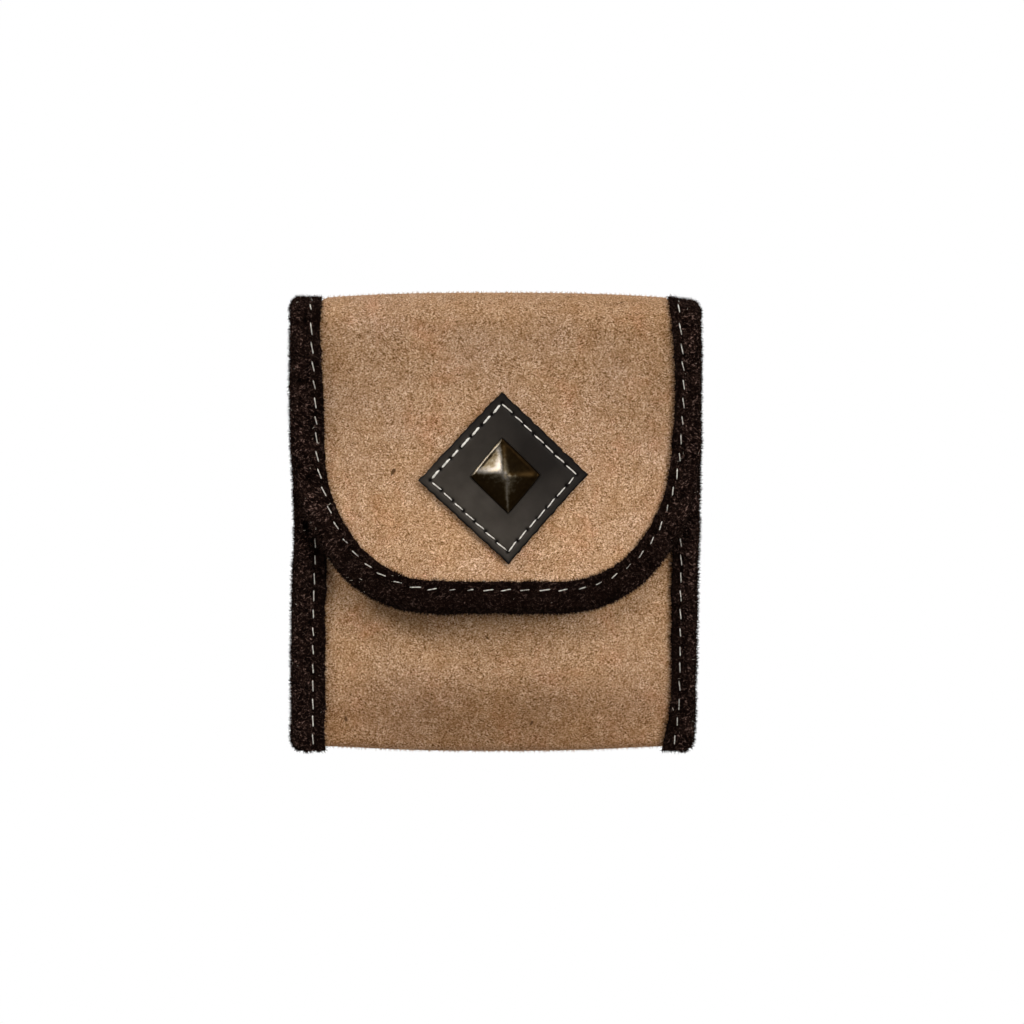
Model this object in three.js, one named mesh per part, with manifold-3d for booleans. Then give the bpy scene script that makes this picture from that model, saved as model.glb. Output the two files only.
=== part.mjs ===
// A suede waist bag, made the way it is sewn: flat strips of suede are cut, folded over and bound at their
// edges, and each strip, binding, seam and fastener is a piece of its own.
// Millimetres. +Z is up, +Y points to the wearer, -Y to the viewer, +X to the viewer's right.
// The origin is the middle of the belt's way through the two loops. Shapes are worked out in a frame whose
// y = 0 is the middle of the back panel and whose z = 0 is the lower end of the side bindings.
import * as THREE from "three";
import { mergeVertices } from "three/addons/utils/BufferGeometryUtils.js";
import Module from "manifold-3d";

const wasm = await Module();
wasm.setup();

// Whole bag
const BAG_WIDTH = 105; // over the side bindings
const BAG_HEIGHT = 117; // from the lower end of the side bindings to the binding on the top fold
const SEAT = 0.3; // gap kept between pieces that lie on each other

// Tan suede strip
const SUEDE = 1.4; // thickness
const FOOT_LIFT = 1.1; // the suede's folded bottom edge sits this far above the bindings' ends
const FOOT_SAG = 0.8; // and hangs this much lower in the middle
const SEAM_SLACK = 0.6; // between the two panels inside the side seams
const MOUTH_DROP = 15; // the front panel's raw top edge lies this far below the bag's top

// How far the front panel stands off the back panel in the middle of the bag
const POCKET_FOOT = 2;
const POCKET_BELLY = 10;
const POCKET_MOUTH = 8.5;
const SLOPE_FROM = 2.3; // height at which the front leaves the folded foot and slopes out
const SLOPE_TO = 12; // height up to which that slope is straight
const BELLY_FROM = 24; // height at which the belly is reached
const BELLY_TO = 76; // height at which it begins to narrow towards the mouth
const SWELL_POWER = 2.8; // shape of the swell from side to side
const SWELL_EASE = 1.7;

// Fold over the top
const FOLD_BACK = 3.7; // from the back panel's middle to the hinge line
const FOLD_FRONT = 8.3; // from the hinge line to the flap's middle at the sides
const FOLD_BULGE = 3.2; // the fold reaches this much further forward in the middle
const FOLD_DROP_BACK = 5; // height of the bend behind the hinge line
const FOLD_DROP_FRONT = 6.5; // height of the bend in front of it
const FOLD_CROWN = 1.3; // the fold is this much higher in the middle than at the sides
const HINGE_SLIT = 0.3; // the cut between the pouch and the flap at the hinge line
const DRAPE = 36; // height over which the flap settles onto the pouch

// Flap
const FLAP_LENGTH = 81.5; // from the bag's top to the lower edge of the flap's binding
const FLAP_CORNER_ACROSS = 36; // the rounded corners, over the binding
const FLAP_CORNER_DOWN = 42;
const FLAP_STANDOFF = 4.2; // room between the front panel and the flap, for the bindings and the press stud
const FLAP_FLARE = 1.5; // the flap's lower edge stands off this much more
const FLARE_FROM = 85; // height at which that begins

// Dark suede binding
const BINDING = 1.2; // thickness
const BINDING_COVER = 8.3; // width seen from the front, measured from the outer edge
const BINDING_ROUND = 1.6; // how far the folded edge reaches out over the suede, at its middle
const FLAP_SEAM_INSET = 6.1; // the flap's seam, measured from the outer edge
const SIDE_SEAM_INSET = 5.5; // the side seams, measured the same way

// Thread
const THREAD = 0.55; // thickness where a stitch lies on top
const THREAD_NECK = 0.25; // thickness where it goes down into its hole
const BINDING_PITCH = 4.65; // length of one stitch on the bindings
const PATCH_PITCH = 3.77; // length of one stitch on the patch and on the belt loops

// Patch and press stud
const PATCH_SIDE = 30.5;
const PATCH_THICKNESS = 1.6;
const PATCH_TURN = 2.2; // degrees by which the diamond is sewn off upright
const PATCH_X = 2.1;
const PATCH_DROP = 47.4; // from the bag's top down to the patch's middle
const PATCH_SEAM_INSET = 2.15; // from the patch's edge
const STUD_SIDE = 12.7;
const STUD_HEIGHT = 5;
const STUD_RIM = 0.8; // upright rim under the pyramid
const POST = 3; // thickness of the posts that go through the leather
const POST_ROOM = 0.4; // between a post and the hole around it, all round
const SOCKET_DIAMETER = 12;
const SOCKET_THICKNESS = 2.3;
const SOCKET_WELL = 8.4; // diameter of the hollow that takes the ball
const SOCKET_FLOOR = 0.6; // metal left behind that hollow
const BALL_DIAMETER = 5.4;
const BALL_HEIGHT = 1.6;
const BASE_DIAMETER = 10; // foot of the ball and head of the post behind it
const BASE_THICKNESS = 0.8;

// Belt loops on the back
const LOOP_WIDTH = 20;
const LOOP_SPACING = 46; // between the middles of the two loops
const LOOP_LEATHER = 1.6; // thickness
const LOOP_TAB = 8; // sewn end
const LOOP_RISE = 6; // length of the slope between a sewn end and the part that clears the belt
const BELT_HEIGHT = 40; // clear height for the belt
const BELT_ROOM = 5.6; // clear thickness for the belt
const LOOP_TOP = 103; // height of the upper end of the loops

// Fineness of the grids
const PANEL_COLUMNS = 20;
const EDGE_COLUMNS = 3;
const BEND_STEPS = 4;
const FOOT_STEPS = 6;
const BACK_STEPS = 3;
const FRONT_STEPS = 12;
const HANG_STEPS = 8;
const CORNER_STEPS = 9;
const EDGE_STEPS = 4;
const LIP_STEPS = 2;
const LOWER_STEPS = 4;
const SIDE_STEPS = 8;
const RISE_STEPS = 5;
const PATCH_STEPS = 8;
const ROUND_SIDES = 24;

// Values that follow from the ones above
const bindingReach = SUEDE / 2 + SEAT + BINDING / 2; // from the suede's middle to the binding's middle
const bindingSkin = bindingReach + BINDING / 2; // and to the binding's outer face
const edgeOut = BINDING_ROUND + BINDING / 2; // from the suede's edge to the binding's outer edge
const suedeHalf = BAG_WIDTH / 2 - edgeOut;
const lip = BINDING_COVER - edgeOut; // from the suede's edge in to the binding's inner edge
const seamSpacing = SUEDE + SEAM_SLACK; // between the two panels' middles at the side seams
const swellHalf = BAG_WIDTH / 2 - BINDING_COVER - 0.4;
const apexZ = BAG_HEIGHT - bindingSkin;
const backBendZ = apexZ - FOLD_DROP_BACK;
const frontBendZ = apexZ - FOLD_DROP_FRONT;
const mouthZ = BAG_HEIGHT - MOUTH_DROP;
const footZ = FOOT_LIFT + SUEDE / 2;
const flapFootZ = BAG_HEIGHT - FLAP_LENGTH + edgeOut; // lower edge of the flap's suede
const patchZ = BAG_HEIGHT - PATCH_DROP;
const cornerAcross = FLAP_CORNER_ACROSS - edgeOut;
const cornerDown = FLAP_CORNER_DOWN - edgeOut;
const threadLift = SEAT + THREAD / 2;
const hingeZ = apexZ + Math.max(bindingSkin + SEAT + THREAD, SUEDE / 2 + FOLD_CROWN) + 0.1;
const beltY = SUEDE / 2 + BELT_ROOM / 2;
const loopLength = BELT_HEIGHT + 2 * (LOOP_RISE + LOOP_TAB);
const beltZ = LOOP_TOP - loopLength / 2;

const SUEDE_TAN = { color: 0xab865f, roughness: 0.95, metalness: 0 };
const SUEDE_DARK = { color: 0x241a16, roughness: 0.95, metalness: 0 };
const LEATHER_BLACK = { color: 0x2b2723, roughness: 0.5, metalness: 0 };
const THREAD_WHITE = { color: 0xe6e1d2, roughness: 0.8, metalness: 0 };
const BRASS_ANTIQUE = { color: 0x7b6444, roughness: 0.35, metalness: 0.9 };

const bag = new THREE.Group();
bag.name = "waist_bag";
bag.position.set(0, -beltY, -beltZ);

function add(name, geometry, look) {
  geometry.computeVertexNormals();
  const mesh = new THREE.Mesh(geometry, new THREE.MeshStandardMaterial(look));
  mesh.name = name;
  bag.add(mesh);
}

function clamp(t) {
  return Math.min(1, Math.max(0, t));
}

function smooth(t) {
  return clamp(t) ** 2 * (3 - 2 * clamp(t));
}

function mix(a, b, t) {
  return a + (b - a) * t;
}

// Bare triangles with shared corners, turned to face outwards
function welded(geometry) {
  geometry.deleteAttribute("normal");
  geometry.deleteAttribute("uv");
  return facingOut(mergeVertices(geometry));
}

function facingOut(geometry) {
  const index = geometry.index.array;
  const at = geometry.attributes.position;
  const [a, b, c] = [new THREE.Vector3(), new THREE.Vector3(), new THREE.Vector3()];
  let volume = 0;
  for (let i = 0; i < index.length; i += 3) {
    a.fromBufferAttribute(at, index[i]);
    b.fromBufferAttribute(at, index[i + 1]);
    c.fromBufferAttribute(at, index[i + 2]);
    volume += a.dot(b.cross(c));
  }
  if (volume < 0) {
    for (let i = 0; i < index.length; i += 3) {
      [index[i + 1], index[i + 2]] = [index[i + 2], index[i + 1]];
    }
  }
  return geometry;
}

// A flat strip cut into a grid and then bent: place(column, row, n) says where each point goes,
// n being -0.5 on one face and 0.5 on the other.
function bentStrip(columns, rows, place) {
  const flat = welded(new THREE.BoxGeometry(1, 1, 1, columns, rows, 1));
  const at = flat.attributes.position;
  for (let i = 0; i < at.count; i++) {
    const column = (at.getX(i) + 0.5) * columns;
    const row = (at.getY(i) + 0.5) * rows;
    const point = place(column, row, at.getZ(i));
    at.setXYZ(i, point.x, point.y, point.z);
  }
  return facingOut(flat);
}

// A point raised off a surface along its normal. On both bag surfaces plus means towards the wearer's side.
function raised(surface, a, b, height) {
  const step = 1e-3;
  const along = surface(a + step, b).sub(surface(a - step, b));
  const across = surface(a, b + step).sub(surface(a, b - step));
  return surface(a, b).addScaledVector(along.cross(across).normalize(), height);
}

function solid(geometry) {
  const mesh = new wasm.Mesh({
    numProp: 3,
    vertProperties: new Float32Array(geometry.attributes.position.array),
    triVerts: new Uint32Array(geometry.index.array),
  });
  return new wasm.Manifold(mesh);
}

function geometryOf(body) {
  const mesh = body.getMesh();
  const geometry = new THREE.BufferGeometry();
  const points = new THREE.BufferAttribute(new Float32Array(mesh.vertProperties), mesh.numProp);
  geometry.setAttribute("position", points);
  geometry.setIndex(Array.from(mesh.triVerts));
  return geometry;
}

// A round piece about the press stud's axis, which points along y. Profile points are [radius, y].
function turned(profile, sides) {
  const points = profile.map(([radius, y]) => new THREE.Vector2(radius, y));
  const lathe = welded(new THREE.LatheGeometry([...points, points[0]], sides));
  lathe.translate(PATCH_X, 0, patchZ);
  return lathe;
}

// Swell of the bag from side to side: 1 in the middle, 0 under the bindings
function swell(x) {
  return (1 - Math.min(1, Math.abs(x) / swellHalf) ** SWELL_POWER) ** SWELL_EASE;
}

// How far up the slope from the foot to the belly a height lies, from 0 to 1: straight first, then easing
const slopeRun = SLOPE_TO - SLOPE_FROM + (BELLY_FROM - SLOPE_TO) / 2;

function slopeShare(z) {
  const eased = clamp((z - SLOPE_TO) / (BELLY_FROM - SLOPE_TO));
  const straight = Math.max(0, Math.min(z, SLOPE_TO) - SLOPE_FROM);
  return (straight + (BELLY_FROM - SLOPE_TO) * (eased - eased ** 2 / 2)) / slopeRun;
}

// Distance between the middles of the front and back panels
function panelGap(x, z) {
  const rising = slopeShare(z);
  const falling = smooth((z - BELLY_TO) / (mouthZ - BELLY_TO));
  const belly = mix(POCKET_FOOT, POCKET_BELLY, rising) + (POCKET_MOUTH - POCKET_BELLY) * falling;
  return seamSpacing + belly * swell(x);
}

// Back panel's middle, q counted from the hinge line: over the bend first, then straight down
const backBend = (Math.PI / 4) * (FOLD_BACK + FOLD_DROP_BACK);

function backSheet(x, q) {
  const crown = FOLD_CROWN * swell(x);
  if (q < backBend) {
    const turn = (q / backBend) * (Math.PI / 2);
    const y = FOLD_BACK * (Math.sin(turn) - 1);
    return new THREE.Vector3(x, y, backBendZ + (FOLD_DROP_BACK + crown) * Math.cos(turn));
  }
  return new THREE.Vector3(x, 0, backBendZ - (q - backBend));
}

// Flap's middle, q counted from the hinge line: over the bend, then down over the pouch
const frontBend = (Math.PI / 4) * (FOLD_FRONT + FOLD_BULGE + FOLD_DROP_FRONT);

function flapSheet(x, q) {
  const crown = FOLD_CROWN * swell(x);
  const reach = FOLD_FRONT + FOLD_BULGE * swell(x);
  if (q < frontBend) {
    const turn = (q / frontBend) * (Math.PI / 2);
    const y = -FOLD_BACK - reach * Math.sin(turn);
    return new THREE.Vector3(x, y, frontBendZ + (FOLD_DROP_FRONT + crown) * Math.cos(turn));
  }
  const z = frontBendZ - (q - frontBend);
  const flare = FLAP_FLARE * clamp((FLARE_FROM - z) / (FLARE_FROM - flapFootZ)) ** 2;
  const settled = -(panelGap(x, z) + SUEDE + FLAP_STANDOFF + flare);
  const y = mix(-FOLD_BACK - reach, settled, smooth((q - frontBend) / DRAPE));
  return new THREE.Vector3(x, y, z);
}

function flapRow(z) {
  return frontBend + frontBendZ - z;
}

// Pouch panel: from the hinge line down the back, round the foot and up the front to the mouth
const hingeTrim = HINGE_SLIT / 2;

function pouchSheet(x, row) {
  const lean = Math.atan((swell(x) * (POCKET_BELLY - POCKET_FOOT)) / slopeRun);
  const radius = panelGap(x, SLOPE_FROM) / (1 + Math.cos(lean));
  const low = footZ - FOOT_SAG * swell(x) + radius;
  if (row <= BEND_STEPS) {
    return backSheet(x, mix(hingeTrim, backBend, row / BEND_STEPS));
  }
  const backRow = row - BEND_STEPS;
  if (backRow <= BACK_STEPS) {
    return new THREE.Vector3(x, 0, mix(backBendZ, low, backRow / BACK_STEPS));
  }
  const footRow = backRow - BACK_STEPS;
  if (footRow <= FOOT_STEPS) {
    const turn = (footRow / FOOT_STEPS) * (Math.PI - lean);
    return new THREE.Vector3(x, -radius * (1 - Math.cos(turn)), low - radius * Math.sin(turn));
  }
  const z = mix(low - radius * Math.sin(lean), mouthZ, (footRow - FOOT_STEPS) / FRONT_STEPS);
  return new THREE.Vector3(x, -panelGap(x, z), z);
}

// Columns of the panels: a few under each binding, even ones over the swell between them
function acrossBag(column) {
  const fromEdge = Math.min(column, PANEL_COLUMNS - column);
  if (fromEdge < EDGE_COLUMNS) {
    const x = mix(suedeHalf, swellHalf, fromEdge / EDGE_COLUMNS);
    return column < EDGE_COLUMNS ? -x : x;
  }
  return mix(-swellHalf, swellHalf, (column - EDGE_COLUMNS) / (PANEL_COLUMNS - 2 * EDGE_COLUMNS));
}

const pouchRows = BEND_STEPS + BACK_STEPS + FOOT_STEPS + FRONT_STEPS;
const pouchStrip = bentStrip(PANEL_COLUMNS, pouchRows, (column, row, n) =>
  raised(pouchSheet, acrossBag(column), row, n * SUEDE),
);

// Flap panel: straight sides, then quarter ellipses to a short straight lower edge
const cornerZ = flapFootZ + cornerDown;
const flapRows = BEND_STEPS + HANG_STEPS + CORNER_STEPS;

function flapStrip(column, row, n) {
  const part = acrossBag(column) / suedeHalf;
  if (row <= BEND_STEPS) {
    return raised(flapSheet, part * suedeHalf, mix(hingeTrim, frontBend, row / BEND_STEPS), n * SUEDE);
  }
  const hangRow = row - BEND_STEPS;
  if (hangRow <= HANG_STEPS) {
    const z = mix(frontBendZ, cornerZ, hangRow / HANG_STEPS);
    return raised(flapSheet, part * suedeHalf, flapRow(z), n * SUEDE);
  }
  const turn = ((hangRow - HANG_STEPS) / CORNER_STEPS) * (Math.PI / 2);
  const half = suedeHalf - cornerAcross * (1 - Math.cos(turn));
  return raised(flapSheet, part * half, flapRow(cornerZ - cornerDown * Math.sin(turn)), n * SUEDE);
}

const flapLeather = bentStrip(PANEL_COLUMNS, flapRows, flapStrip);

// Edge of the flap from hinge line to hinge line: where it is on the strip and which way is outwards
const legSteps = BEND_STEPS + HANG_STEPS;
const edgeRows = 2 * (legSteps + CORNER_STEPS + LOWER_STEPS);

function flapEdge(step) {
  const half = edgeRows / 2;
  if (step > half) {
    const left = flapEdge(edgeRows - step);
    return { x: -left.x, q: left.q, outX: -left.outX, outQ: left.outQ };
  }
  if (step <= BEND_STEPS) {
    return { x: -suedeHalf, q: mix(hingeTrim, frontBend, step / BEND_STEPS), outX: -1, outQ: 0 };
  }
  if (step <= legSteps) {
    const z = mix(frontBendZ, cornerZ, (step - BEND_STEPS) / HANG_STEPS);
    return { x: -suedeHalf, q: flapRow(z), outX: -1, outQ: 0 };
  }
  if (step <= legSteps + CORNER_STEPS) {
    const turn = ((step - legSteps) / CORNER_STEPS) * (Math.PI / 2);
    const out = new THREE.Vector2(-Math.cos(turn) / cornerAcross, Math.sin(turn) / cornerDown).normalize();
    const x = -suedeHalf + cornerAcross * (1 - Math.cos(turn));
    return { x, q: flapRow(cornerZ - cornerDown * Math.sin(turn)), outX: out.x, outQ: out.y };
  }
  const part = (step - legSteps - CORNER_STEPS) / (half - legSteps - CORNER_STEPS);
  return { x: mix(-suedeHalf + cornerAcross, 0, part), q: flapRow(flapFootZ), outX: 0, outQ: 1 };
}

// Middle line of a binding folded over an edge, seen end on: out is the distance beyond the suede's edge and
// up the height over the suede's middle. Steps run from one inner edge round to the other.
const bindingRows = EDGE_STEPS + 2 * LIP_STEPS;

function bindingFold(row, low, high) {
  if (row <= LIP_STEPS) {
    return new THREE.Vector2(mix(-lip, 0, row / LIP_STEPS), high);
  }
  if (row <= EDGE_STEPS + LIP_STEPS) {
    const turn = ((row - LIP_STEPS) / EDGE_STEPS) * Math.PI;
    const up = (high + low) / 2 + ((high - low) / 2) * Math.cos(turn);
    return new THREE.Vector2(BINDING_ROUND * Math.sin(turn), up);
  }
  return new THREE.Vector2(mix(0, -lip, (row - EDGE_STEPS - LIP_STEPS) / LIP_STEPS), low);
}

function bindingPoint(row, low, high, n) {
  const step = 1e-3;
  const ahead = bindingFold(Math.min(row + step, bindingRows), low, high);
  const behind = bindingFold(Math.max(row - step, 0), low, high);
  const along = ahead.sub(behind).normalize();
  return bindingFold(row, low, high).add(new THREE.Vector2(along.y, -along.x).multiplyScalar(n * BINDING));
}

const flapBinding = bentStrip(edgeRows, bindingRows, (step, row, n) => {
  const edge = flapEdge(step);
  const spot = bindingPoint(row, -bindingReach, bindingReach, n);
  return raised(flapSheet, edge.x + edge.outX * spot.x, edge.q + edge.outQ * spot.x, spot.y);
});

// Side binding: round both panels' edges up to the mouth, round the back panel alone above it
const sideRows = BEND_STEPS + SIDE_STEPS;
const singleFrom = mouthZ + 1;
const singleTo = mouthZ + 5;

function sidePlace(step) {
  if (step <= BEND_STEPS) {
    return mix(hingeTrim, backBend, step / BEND_STEPS);
  }
  const heights = [backBendZ, singleTo, mix(singleTo, singleFrom, 0.5), singleFrom];
  const below = step - BEND_STEPS;
  const z = below < heights.length ? heights[below] : mix(singleFrom, 0, (below - 3) / (SIDE_STEPS - 3));
  return backBend + backBendZ - z;
}

function sideBinding(side) {
  return bentStrip(sideRows, bindingRows, (step, row, n) => {
    const q = sidePlace(Math.round(step));
    const z = backBendZ - (q - backBend);
    const both = 1 - smooth((z - singleFrom) / (singleTo - singleFrom));
    const spot = bindingPoint(row, -bindingReach - seamSpacing * both, bindingReach, n);
    return raised(backSheet, side * (suedeHalf + spot.x), q, spot.y);
  });
}

// A row of stitches: each one thick on top and thin at its two holes. spot(t) gives the seam's point, the
// direction along it and the way up from the leather, for t from 0 to 1.
function stitches(count, spot) {
  return bentStrip(count * 3, 1, (column, row, n) => {
    const whole = Math.round(column);
    const shift = [0, 0.2, 0.8][whole % 3];
    const thick = whole % 3 === 0 ? THREAD_NECK : THREAD;
    const { point, along, up } = spot((Math.floor(whole / 3) + shift) / count);
    const across = along.clone().cross(up).normalize();
    return point.addScaledVector(across, (row - 0.5) * thick).addScaledVector(up, n * thick);
  });
}

// The seam along a line drawn on a surface: line(t) gives [a, b] and height is that of the thread's middle
function seamOn(surface, line, height) {
  return (t) => {
    const step = 1e-3;
    const at = (s) => raised(surface, ...line(s), height);
    const along = at(Math.min(1, t + step)).sub(at(Math.max(0, t - step))).normalize();
    const up = raised(surface, ...line(t), height + Math.sign(height)).sub(at(t));
    return { point: at(t), along, up };
  };
}

// Length along the flap's seam, so that its stitches come out equally long
const flapSeamIn = edgeOut - FLAP_SEAM_INSET;
const flapSeamTable = [0];

function flapSeamAt(step) {
  const edge = flapEdge(step);
  return [edge.x + edge.outX * flapSeamIn, edge.q + edge.outQ * flapSeamIn];
}

for (let step = 1; step <= edgeRows; step++) {
  const before = flapSheet(...flapSeamAt(step - 1));
  flapSeamTable.push(flapSeamTable[step - 1] + before.distanceTo(flapSheet(...flapSeamAt(step))));
}

function flapSeamLine(t) {
  const run = t * flapSeamTable[edgeRows];
  let step = 0;
  while (step < edgeRows - 1 && flapSeamTable[step + 1] < run) {
    step += 1;
  }
  const part = (run - flapSeamTable[step]) / (flapSeamTable[step + 1] - flapSeamTable[step]);
  return flapSeamAt(step + clamp(part));
}

const flapStitchCount = Math.round(flapSeamTable[edgeRows] / BINDING_PITCH);
const flapSeam = seamOn(flapSheet, flapSeamLine, -bindingSkin - threadLift);

function sideSeam(side) {
  const x = side * (suedeHalf + edgeOut - SIDE_SEAM_INSET);
  const height = -(seamSpacing + bindingSkin + threadLift);
  const line = (t) => [x, backBend + backBendZ - mix(0.6, mouthZ - 1, t)];
  return stitches(Math.round((mouthZ - 1.6) / BINDING_PITCH), seamOn(backSheet, line, height));
}

// Diamond patch, laid on the flap and bent with it
const patchAngle = THREE.MathUtils.degToRad(45 + PATCH_TURN);

function onPatch(a, b) {
  const spot = new THREE.Vector2(a, b).rotateAround(new THREE.Vector2(0, 0), patchAngle);
  return [PATCH_X + spot.x, flapRow(patchZ + spot.y)];
}

const patchMiddle = SUEDE / 2 + SEAT + PATCH_THICKNESS / 2;
const patchLeather = bentStrip(PATCH_STEPS, PATCH_STEPS, (column, row, n) => {
  const a = (column / PATCH_STEPS - 0.5) * PATCH_SIDE;
  const b = (row / PATCH_STEPS - 0.5) * PATCH_SIDE;
  return raised(flapSheet, ...onPatch(a, b), -patchMiddle + n * PATCH_THICKNESS);
});

const patchSeamHalf = PATCH_SIDE / 2 - PATCH_SEAM_INSET;
const patchSideStitches = Math.round((2 * patchSeamHalf) / PATCH_PITCH);

function patchSeamLine(t) {
  const along = (t % 1) * 4;
  const reach = mix(-patchSeamHalf, patchSeamHalf, along % 1);
  const corners = [
    [reach, -patchSeamHalf],
    [patchSeamHalf, reach],
    [-reach, patchSeamHalf],
    [-patchSeamHalf, -reach],
  ];
  return onPatch(...corners[Math.floor(along)]);
}

// The patch seam stops one neck short of where it began
const patchSeamEnd = 1 - THREAD / (4 * patchSeamHalf);
const patchSeamHeight = patchMiddle + PATCH_THICKNESS / 2 + threadLift;
const patchSeam = seamOn(flapSheet, (t) => patchSeamLine(t * patchSeamEnd), -patchSeamHeight);

// Press stud. Its axis is level and points along y through the middle of the patch.
const flapY = flapSheet(PATCH_X, flapRow(patchZ)).y;
const frontY = -panelGap(PATCH_X, patchZ);
const patchFaceY = flapY - patchMiddle - PATCH_THICKNESS / 2;
const socketRim = Math.abs(PATCH_X) + SOCKET_DIAMETER / 2;
const headRim = Math.abs(PATCH_X) + BASE_DIAMETER / 2;
const flapInnerY = flapSheet(socketRim, flapRow(patchZ)).y + SUEDE / 2; // where the socket's rim meets it
const frontOuterY = frontY - SUEDE / 2;
const frontInnerY = -panelGap(headRim, patchZ) + SUEDE / 2; // where the post's head meets it
const socketBackY = flapInnerY + SEAT;
const socketRimY = socketBackY + SOCKET_THICKNESS;
const ballFootY = frontOuterY - SEAT;

// A hole for a post, drilled along y through the leather whose middle lies at the given y
function withHole(leather, y) {
  const radius = POST / 2 + POST_ROOM;
  const drill = new THREE.CylinderGeometry(radius, radius, 3 * (SUEDE + PATCH_THICKNESS), ROUND_SIDES);
  drill.translate(PATCH_X, y, patchZ);
  return geometryOf(solid(leather).subtract(solid(welded(drill))));
}

const capSeatY = patchFaceY - SEAT;
const capCorner = STUD_SIDE / Math.SQRT2;
const capProfile = [
  [0, capSeatY],
  [capCorner, capSeatY],
  [capCorner, capSeatY - STUD_RIM],
  [capCorner * 0.62, capSeatY - mix(STUD_RIM, STUD_HEIGHT, 0.44)],
  [capCorner * 0.26, capSeatY - mix(STUD_RIM, STUD_HEIGHT, 0.82)],
  [0, capSeatY - STUD_HEIGHT],
];
const capPyramid = turned(capProfile, 4);
capPyramid.translate(-PATCH_X, 0, -patchZ);
capPyramid.rotateY(-THREE.MathUtils.degToRad(PATCH_TURN));
capPyramid.translate(PATCH_X, 0, patchZ);
const capPostProfile = [
  [0, capSeatY - STUD_RIM],
  [POST / 2, capSeatY - STUD_RIM],
  [POST / 2, socketBackY - SEAT / 2],
  [0, socketBackY - SEAT / 2],
];
const capPost = turned(capPostProfile, ROUND_SIDES);

const socketProfile = [
  [0, socketBackY],
  [SOCKET_DIAMETER / 2, socketBackY],
  [SOCKET_DIAMETER / 2, socketRimY],
  [SOCKET_WELL / 2, socketRimY],
  [SOCKET_WELL / 2, socketBackY + SOCKET_FLOOR],
  [0, socketBackY + SOCKET_FLOOR],
];

const ballTipY = ballFootY - BASE_THICKNESS - BALL_HEIGHT;
const ballProfile = [
  [0, ballFootY],
  [BASE_DIAMETER / 2, ballFootY],
  [BASE_DIAMETER / 2, ballFootY - BASE_THICKNESS],
  [BALL_DIAMETER * 0.42, ballFootY - BASE_THICKNESS],
  [BALL_DIAMETER / 2, mix(ballFootY - BASE_THICKNESS, ballTipY, 0.6)],
  [BALL_DIAMETER * 0.36, ballTipY],
  [0, ballTipY],
];

const headY = frontInnerY + SEAT;
const postProfile = [
  [0, ballFootY + SEAT / 2],
  [POST / 2, ballFootY + SEAT / 2],
  [POST / 2, headY],
  [BASE_DIAMETER / 2, headY],
  [BASE_DIAMETER / 2, headY + BASE_THICKNESS],
  [0, headY + BASE_THICKNESS],
];

// Belt loop: sewn flat at both ends and standing off the back between them
const loopFlatY = SUEDE / 2 + SEAT + LOOP_LEATHER / 2;
const loopOutY = SUEDE / 2 + BELT_ROOM + LOOP_LEATHER / 2;
const loopRows = 2 * RISE_STEPS + 3;

function loopSheet(x, row) {
  const half = loopRows / 2;
  const away = Math.abs(row - half);
  const sign = Math.sign(row - half);
  const clear = BELT_HEIGHT / 2;
  if (away <= 0.5) {
    return new THREE.Vector3(x, loopOutY, beltZ - sign * clear * (away / 0.5));
  }
  if (away <= 0.5 + RISE_STEPS) {
    const part = (away - 0.5) / RISE_STEPS;
    const z = beltZ - sign * (clear + LOOP_RISE * part);
    return new THREE.Vector3(x, mix(loopOutY, loopFlatY, smooth(part)), z);
  }
  const tabPart = away - 0.5 - RISE_STEPS;
  return new THREE.Vector3(x, loopFlatY, beltZ - sign * (clear + LOOP_RISE + LOOP_TAB * tabPart));
}

function beltLoop(side) {
  return bentStrip(1, loopRows, (column, row, n) =>
    raised(loopSheet, (side * LOOP_SPACING) / 2 + (column - 0.5) * LOOP_WIDTH, row, n * LOOP_LEATHER),
  );
}

function loopSeam(side, end) {
  const margin = 2;
  const z = beltZ + end * (loopLength / 2 - LOOP_TAB / 2);
  const y = loopFlatY + LOOP_LEATHER / 2 + threadLift;
  const count = Math.round((LOOP_WIDTH - 2 * margin) / PATCH_PITCH);
  return stitches(count, (t) => ({
    point: new THREE.Vector3((side * LOOP_SPACING) / 2 + mix(-1, 1, t) * (LOOP_WIDTH / 2 - margin), y, z),
    along: new THREE.Vector3(1, 0, 0),
    up: new THREE.Vector3(0, 1, 0),
  }));
}

add("pouch_panel", withHole(pouchStrip, frontY), SUEDE_TAN);
add("flap_panel", withHole(flapLeather, flapY), SUEDE_TAN);
add("side_binding_left", sideBinding(-1), SUEDE_DARK);
add("side_binding_right", sideBinding(1), SUEDE_DARK);
add("flap_binding", flapBinding, SUEDE_DARK);
add("diamond_patch", withHole(patchLeather, flapY), LEATHER_BLACK);
add("pyramid_stud", geometryOf(solid(capPyramid).add(solid(capPost))), BRASS_ANTIQUE);
add("snap_socket", turned(socketProfile, ROUND_SIDES), BRASS_ANTIQUE);
add("snap_stud", turned(ballProfile, ROUND_SIDES), BRASS_ANTIQUE);
add("snap_post", turned(postProfile, ROUND_SIDES), BRASS_ANTIQUE);
add("flap_stitching", stitches(flapStitchCount, flapSeam), THREAD_WHITE);
add("side_stitching_left", sideSeam(-1), THREAD_WHITE);
add("side_stitching_right", sideSeam(1), THREAD_WHITE);
add("patch_stitching", stitches(4 * patchSideStitches, patchSeam), THREAD_WHITE);
add("belt_loop_left", beltLoop(-1), SUEDE_DARK);
add("belt_loop_right", beltLoop(1), SUEDE_DARK);
add("loop_stitching_left_top", loopSeam(-1, 1), THREAD_WHITE);
add("loop_stitching_left_bottom", loopSeam(-1, -1), THREAD_WHITE);
add("loop_stitching_right_top", loopSeam(1, 1), THREAD_WHITE);
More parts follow.
